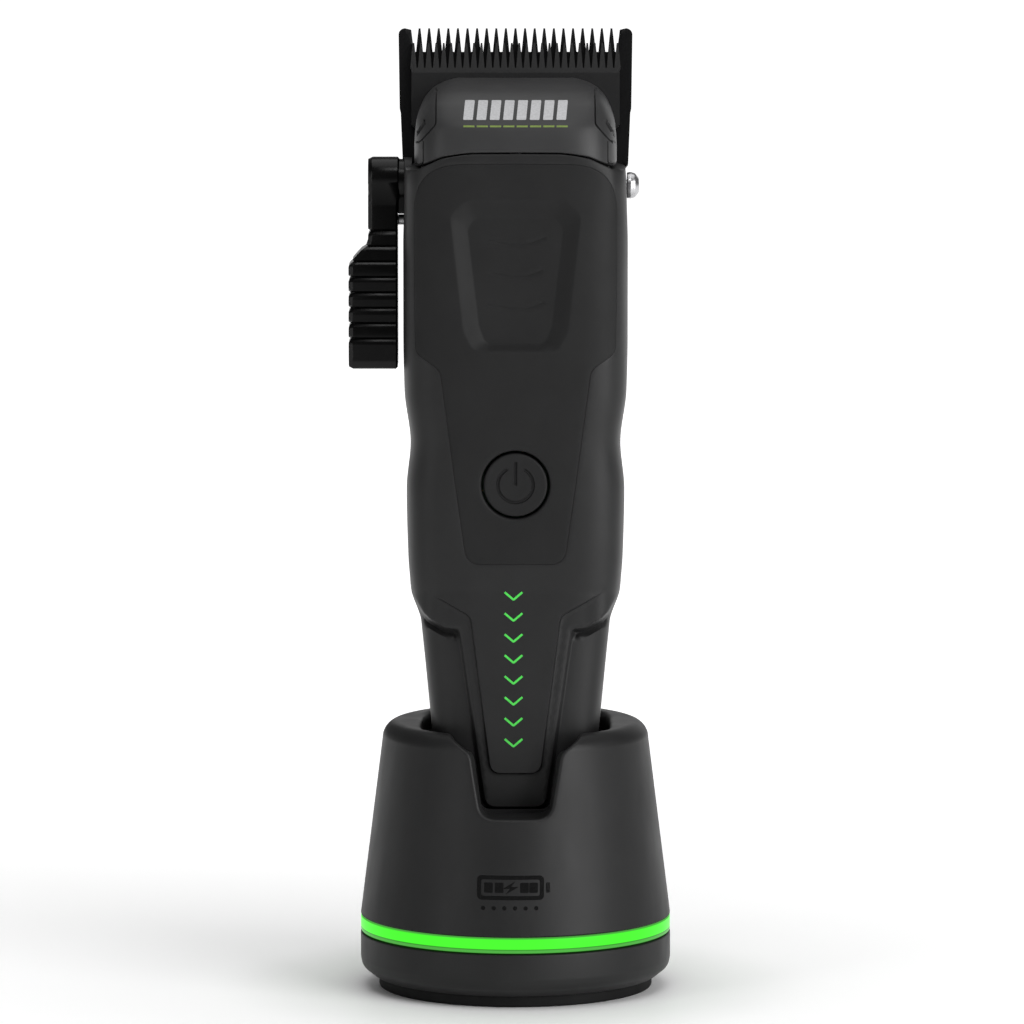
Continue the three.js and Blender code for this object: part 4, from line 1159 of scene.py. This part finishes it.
def build_dock_shell():
    """The cone, its round shoulder and its top, down to a lip inside the well."""
    cone = [(dock_radius(z), z) for z in np.linspace(DOCK_BOTTOM, DOCK_TOP - RIM_HEIGHT - 0.4, 30)]
    shoulder_r, shoulder_z = cone[-1]
    sweep = np.linspace(0.10, math.pi / 2, 16)[1:]
    crown = [(shoulder_r - 3.3 * (1 - math.cos(a)), shoulder_z + 3.45 * math.sin(a)) for a in sweep]
    outside = np.array(cone + crown)
    length = np.r_[0, np.cumsum(np.hypot(*np.diff(outside, axis=0).T))]
    # Beyond the crown, v runs over the flat land, down a turn and then down the lip in the well.
    lip_start, land, lip_turn, lip_depth = length[-1], 5.0, 2.0, 2.2
    last = lip_start + land + lip_turn + lip_depth
    scale = DOCK_RADIUS

    def surface(u, v):
        angle = u / scale
        r = np.interp(v, length, outside[:, 0])
        z = np.interp(v, length, outside[:, 1])
        inner = well_edge(angle)
        edge_r = np.clip(outside[-1, 0] - 0.15 - inner, 0.3, 1.3)
        t = np.clip((v - lip_start) / land, 0, 1)
        r = r + (inner + edge_r - r) * np.where(v > lip_start, t, 0)
        turn = np.clip((v - lip_start - land) / lip_turn, 0, 1) * math.pi / 2
        r = r - edge_r * np.sin(turn)
        z = z - edge_r * (1 - np.cos(turn)) - np.clip(v - lip_start - land - lip_turn, 0, None)
        return np.stack([r * np.sin(angle), -r * np.cos(angle), z], 1)

    def normal(u, v):
        e = 0.25
        across = surface(u + e, v) - surface(u - e, v)
        up = surface(u, v + e) - surface(u, v - e)
        n = np.cross(across, up)
        return n / (np.linalg.norm(n, axis=1)[:, None] + 1e-12)

    # The skin wraps right round: its two side edges meet behind, where a fine seam closes them.
    around = math.pi * scale - 0.02
    notch = both_halves(NOTCH_HALF, NOTCH_RADII).tolist()
    right = [p for p in notch if p[0] > 0.4 and p[1] < DOCK_TOP - 0.4]
    cut = []
    for x, z in sorted(right, key=lambda p: p[1]):
        if z <= outside[-1, 1]:
            v = float(np.interp(z, outside[:, 1], length))
            r = float(np.interp(v, length, outside[:, 0]))
            cut.append((scale * math.asin(min(0.999, x / r)), v))
    start_u, start_v = cut[-1]
    end_u, end_v = scale * math.radians(46), lip_start + land
    for v in np.arange(start_v + 0.35, last - 0.1, 0.35):
        t = min(1.0, (v - start_v) / (end_v - start_v))
        cut.append((start_u + (end_u - start_u) * t ** 1.2, v))
    cut.append((cut[-1][0], last))
    low = [(u, 0.0) for u in np.arange(0.8, around, 0.8)] + [(around, 0.0)]
    back = [(around, v) for v in np.arange(0.6, last, 0.6)]
    top = [(u, last) for u in np.linspace(around, cut[-1][0], 110)]
    half = low + back + top + cut[::-1][1:]
    floor = [(0.0, cut[0][1])]
    outline = np.array([(0.0, 0.0)] + half + floor + [(-u, v) for u, v in half[::-1]])
    mouth = np.array([(-u, v) for u, v in cut[::-1]] + floor + cut)
    mouth_edge, foot_edge = 0.75, 0.3

    def lift(flat, below):
        place = surface(flat[:, 0], flat[:, 1])
        n = normal(flat[:, 0], flat[:, 1])
        if below:
            thin = np.where(flat[:, 1] > lip_start - 3, 1.0, 2.2)
            return place - n * thin[:, None]
        drop = fillet(distance_to(flat, mouth, False), mouth_edge) + fillet(flat[:, 1], foot_edge)
        return place - n * drop[:, None]

    loose = [beside(mouth, side * d) for side in (1, -1) for d in fillet_steps(mouth_edge)]
    bend = np.arange(-around + 0.3, around, 0.9)
    for v in [*fillet_steps(foot_edge, 4), *np.arange(lip_start - 5.5, last - 3, 0.3)]:
        loose.append(np.stack([bend, np.full(len(bend), v)], 1))
    piece = shell("dock_cone", outline, lift, LOOKS["matte_black"], 0.95, (), loose, 1.0)
    join_seam(piece)
    place(piece, "dock", "matte_black", "dock_shell")
    return surface, normal, length, outside, scale


def join_seam(piece, reach_mm=0.05):
    """Welds the two edges that meet behind a piece that wraps right round."""
    mesh = bmesh.new()
    mesh.from_mesh(piece.data)
    near = [v for v in mesh.verts if abs(v.co.x) < 0.04 * MM and v.co.y > 0]
    bmesh.ops.remove_doubles(mesh, verts=near, dist=reach_mm * MM)
    inner = [f for f in mesh.faces if all(abs(v.co.x) < 0.02 * MM and v.co.y > 0 for v in f.verts)]
    bmesh.ops.delete(mesh, geom=inner, context="FACES_ONLY")
    mesh.to_mesh(piece.data)
    mesh.free()


def build_dock_rings():
    foot = softened([(0, 0), (27.4, 0), (27.4, 2.6), (0, 2.6)], [0, 0.5, 0.2, 0])
    place(turned("rubber_foot", foot, LOOKS["rubber_black"]), "dock", "rubber_black", "foot_pad")
    cup = [(0, 2.3), (28.3, 2.3), (30.8, 4.3), (31.1, 6.0), (31.1, 11.1), (29.1, 11.1), (29.1, 5.0), (0, 5.0)]
    cup = softened(cup, [0, 1.4, 2.2, 3.0, 0.3, 0.2, 0.5, 0])
    place(turned("base_cup", cup, LOOKS["matte_black"], 256), "dock", "matte_black", "dock_base_cup")
    ring = [(28.5, RING_LOW), (31.05, RING_LOW), (31.05, RING_HIGH), (28.5, RING_HIGH)]
    ring = softened(ring, [0, 0.25, 0.25, 0])
    place(turned("ring_light", ring, LOOKS["green_light"], 256), "dock", "green_light", "light_ring")


def well_form(name, levels, grow):
    """A solid of the well's shape, larger all round by a distance."""
    half_count = 81
    rings = []
    for z in levels:
        t = (z - DOCK_WELL[0][0]) / (DOCK_TOP - DOCK_WELL[0][0])
        half, front, rear = [a + (b - a) * t for a, b in zip(DOCK_WELL[0][1:], DOCK_WELL[1][1:])]
        right = oval(half + grow, front - grow, rear + grow, z, half_count)
        rings.append(np.concatenate([right, right[1:-1][::-1] * (-1, 1, 1)]))
    n = len(rings[0])
    faces = []
    for k in range(len(rings) - 1):
        low, high = k * n, (k + 1) * n
        faces += [[low + i, low + (i + 1) % n, high + (i + 1) % n, high + i] for i in range(n)]
    faces += [list(range(n))[::-1], [(len(rings) - 1) * n + i for i in range(n)]]
    return make(name, np.concatenate(rings), faces, LOOKS["matte_black"])


def gate_form():
    """A prism that opens the well's front behind the notch."""
    gate = [(0, 38.2), (6.4, 38.2), (8.0, 41.6), (8.6, 49.0), (13.6, 54.6), (14.4, 60.0), (0, 60.0)]
    gate = both_halves(gate, [0, 2.5, 0, 0, 0, 0, 0])
    n = len(gate)
    walls = np.concatenate([np.stack([gate[:, 0], np.full(n, y), gate[:, 1]], 1) for y in (-40.0, -8.0)])
    faces = [[i, i + n, (i + 1) % n + n, (i + 1) % n] for i in range(n)]
    faces += [list(range(n)), [i + n for i in range(n)][::-1]]
    return make("gate_form", walls, faces, LOOKS["matte_black"])


def cut_out(piece, forms):
    """Takes the shapes of some objects out of a piece, and removes the objects."""
    for form in forms:
        cut = piece.modifiers.new("cut", "BOOLEAN")
        cut.operation = "DIFFERENCE"
        cut.solver = "EXACT"
        cut.object = form
    graph = bpy.context.evaluated_depsgraph_get()
    made = bpy.data.meshes.new_from_object(piece.evaluated_get(graph))
    piece.modifiers.clear()
    piece.data = made
    made.shade_smooth()
    made.set_sharp_from_angle(angle=math.radians(30))
    for form in forms:
        bpy.data.objects.remove(form)


def build_dock_well():
    """The pocket that the clipper stands in, open at the front behind the notch."""
    well = well_form("well_pocket", (32.4, 40, 47, 50.0), 1.2)
    inside = well_form("cutting_form", (34.0, 40, 47, 56.0), 0.0)
    hole = [(0, 30.0), (1.3, 30.0), (1.3, 35.0), (0, 35.0)]
    look = LOOKS["matte_black"]
    pins = [turned("pin_form", hole, look, 32, "Z", (x, -3.0, 0)) for x in (-5.5, 5.5)]
    cut_out(well, [inside, gate_form(), *pins])
    place(well, "dock", "matte_black", "dock_well")


def build_notch_throat():
    """The wall that joins the notch in the shell to the opening in the well."""
    throat = [(-13.9, 53.0), (-9.3, 49.9), (-8.8, 47.0), (-7.1, 37.6),
              (7.1, 37.6), (8.8, 47.0), (9.3, 49.9), (13.9, 53.0)]
    throat = rounded(throat, [0, 3.5, 3.0, 3.4, 3.4, 3.0, 3.5, 0], 0.4, False)
    layers = []
    for line in (throat, beside(throat, 1.2)):
        r = dock_radius(np.minimum(line[:, 1], 50)) - 1.6
        front = -np.sqrt(np.clip(r ** 2 - line[:, 0] ** 2, 1, None))
        for y in (np.minimum(front, -18.6), np.full(len(line), -18.2)):
            layers.append(np.stack([line[:, 0], y, line[:, 1]], 1))
    n = len(throat)
    order = (0, 1, 3, 2)
    faces = []
    for a, b in zip(order, order[1:] + order[:1]):
        faces += [[a * n + i, a * n + i + 1, b * n + i + 1, b * n + i] for i in range(n - 1)]
    faces += [[k * n for k in order], [k * n + n - 1 for k in order[::-1]]]
    piece = make("notch_throat", np.concatenate(layers), faces, LOOKS["matte_black"])
    place(piece, "dock", "matte_black")


def build_dock_mark(surface, normal, length, outside, scale):
    def lift(flat, above):
        v = np.interp(flat[:, 1], outside[:, 1], length)
        r = np.interp(v, length, outside[:, 0])
        u = scale * np.arcsin(flat[:, 0] / r)
        return surface(u, v) + normal(u, v) * above

    def frame_of(x0, z0, x1, z1, radius):
        return rounded([(x0, z0), (x1, z0), (x1, z1), (x0, z1)], radius, 0.3)

    case = frame_of(-7.6, 22.0, 5.6, 26.8, 1.0)
    window = frame_of(-6.8, 22.8, 4.8, 26.0, 0.5)
    nub = frame_of(6.0, 23.4, 6.8, 25.4, 0.25)
    bolt = [(0.0, 25.7), (-2.6, 24.2), (-1.1, 24.2), (-2.0, 23.1), (0.6, 24.6), (-0.9, 24.6)]
    bolt = rounded(bolt, 0.05, 0.3)
    cells = [frame_of(x, 23.4, x + 1.7, 25.4, 0.2) for x in (-6.2, -4.1, 0.9, 2.7)]
    dots = [circle(-6.4 + 2.1 * i, 20.4, 0.42, 20) for i in range(6)]
    loops = [case, nub, bolt, *cells, *dots]
    mark("dock_battery_mark", loops, lift, MARK_GLOSS, "dock", "matte_black", [window])


# ---------------------------------------------------------------- carried-over CAD nodes

FINISH = {
    "steel": ["dock_ballast", "dock_power_socket", "charge_pin_spring_left", "charge_pin_spring_right",
              "dock_screw_1", "dock_screw_2", "dock_screw_3", "tact_switch", "charging_jack",
              "housing_screw_lower_left", "housing_screw_lower_right", "housing_screw_upper_left",
              "housing_screw_upper_right", "motor", "motor_shaft", "motor_screw_left", "motor_screw_right",
              "tension_spring", "blade_screw_left", "blade_screw_right", "cross_shaft", "lever_cam",
              "detent_spring"],
    "brass": ["charge_pin_left", "charge_pin_right", "charge_contact_left", "charge_contact_right"],
    "board_green": ["dock_circuit_board", "circuit_board"],
    "green_light": ["ring_led_1", "ring_led_2", "ring_led_3", "ring_led_4"],
    "inner_plastic": ["charge_pin_block", "battery_cradle", "drive_chassis", "drive_yoke", "blade_carrier"],
    "cell_wrap": ["battery_cell"],
    "gloss_black": ["cap_clip_left", "cap_clip_right"],
    "matte_black": ["end_cap"],
}


def finish_cad_nodes():
    for slot, names in FINISH.items():
        for name in names:
            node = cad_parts[name]
            node.data.materials.clear()
            node.data.materials.append(LOOKS[slot])


# ---------------------------------------------------------------- stage


def area_light(name, place_m, size_m, power):
    """A rectangular light that faces the middle of the object."""
    data = bpy.data.lights.new(name, "AREA")
    data.shape = "RECTANGLE"
    data.size, data.size_y = size_m
    data.energy = power
    light = bpy.data.objects.new(name, data)
    light.location = place_m
    aim = Vector((0, 0, 0.1)) - Vector(place_m)
    light.rotation_euler = aim.to_track_quat("-Z", "Y").to_euler()
    bpy.context.scene.collection.objects.link(light)


def build_stage():
    scene = bpy.context.scene
    scene.view_settings.view_transform = "Standard"
    bpy.ops.mesh.primitive_plane_add(size=12)
    floor = bpy.context.object
    floor.name = "floor"
    pale = Look("pale_floor", Roughness=0.55)
    tone = pale.ramp(pale.noise(400, 2), [(0.3, (0.88, 0.88, 0.88)), (0.7, (0.92, 0.92, 0.92))])
    pale.link(tone, pale.shader.inputs["Base Color"])
    # The floor glows more the farther it is from the object, so that it shows white. Near the dock the glow
    # falls to nothing, a painted contact shadow, and ahead of the object it is dimmed, painted shade so that
    # it doesn't light the front.
    away = pale.node("ShaderNodeVectorMath", operation="LENGTH")
    pale.link(pale.place, away.inputs[0])
    # Painted contact shadow: no glow within 27 mm of the middle, rising to full glow 1 m away.
    stops = [(0.027, (0, 0, 0)), (0.06, (0.25, 0.25, 0.25)), (0.3, (0.6, 0.6, 0.6)), (1.0, (1, 1, 1))]
    painted_glow = pale.ramp(away.outputs["Value"], stops)
    split = pale.node("ShaderNodeSeparateXYZ")
    pale.link(pale.place, split.inputs["Vector"])
    # Painted shade: ahead of the object the glow is dimmed, down to a quarter 0.4 m in front.
    painted_shade_ahead = pale.node("ShaderNodeMapRange")
    for key, number in (("From Min", -0.4), ("From Max", -0.1), ("To Min", 0.25), ("To Max", 1.0)):
        painted_shade_ahead.inputs[key].default_value = number
    pale.link(split.outputs["Y"], painted_shade_ahead.inputs["Value"])
    shaded = pale.node("ShaderNodeVectorMath", operation="SCALE")
    pale.link(painted_glow, shaded.inputs[0])
    pale.link(painted_shade_ahead.outputs["Result"], shaded.inputs["Scale"])
    pale.link(shaded.outputs["Vector"], pale.shader.inputs["Emission Color"])
    pale.shader.inputs["Emission Strength"].default_value = 1.0
    floor.data.materials.append(pale.material)

    # A white backdrop, which lights the object less than it shows.
    world = bpy.data.worlds.new("studio")
    world.use_nodes = True
    tree = world.node_tree
    background = tree.nodes["Background"]
    background.inputs["Color"].default_value = (1, 1, 1, 1)
    seen = tree.nodes.new("ShaderNodeLightPath").outputs["Is Camera Ray"]
    strength = tree.nodes.new("ShaderNodeMapRange")
    strength.inputs["To Min"].default_value = 0.13
    strength.inputs["To Max"].default_value = 1.0
    tree.links.new(seen, strength.inputs["Value"])
    tree.links.new(strength.outputs["Result"], background.inputs["Strength"])
    scene.world = world

    area_light("key_right", (0.63, -0.585, 0.25), (0.58, 0.9), 8.8)
    area_light("fill_left", (-0.64, -0.55, 0.25), (0.2, 0.8), 1.3)
    area_light("top", (0.0, 0.1, 0.9), (0.8, 0.8), 3.0)
    area_light("top_front", (0.0, -0.55, 0.95), (0.5, 0.16), 1.6)
    area_light("back", (0.25, 1.2, 0.35), (1.0, 0.5), 1.2)

    camera_data = bpy.data.cameras.new("camera")
    camera_data.sensor_width = 36
    camera_data.lens = 283.2
    camera = bpy.data.objects.new("camera", camera_data)
    tilt = math.radians(6.7)
    camera.location = (-0.0007, -1.6, 0.0956 + 1.6 * math.tan(tilt))
    camera.rotation_euler = (math.pi / 2 - tilt, 0, 0)
    scene.collection.objects.link(camera)
    scene.camera = camera


# ---------------------------------------------------------------- build

build_stage()
finish_cad_nodes()
build_front_housing()
build_rear_housing()
build_panel()
build_button()
build_cap_mark(build_cap())
build_tongue_mark()
build_comb_blade()
build_cutter()
build_lever()
build_washer()
build_side_fittings()
build_dock_mark(*build_dock_shell())
build_dock_rings()
build_dock_well()
build_notch_throat()
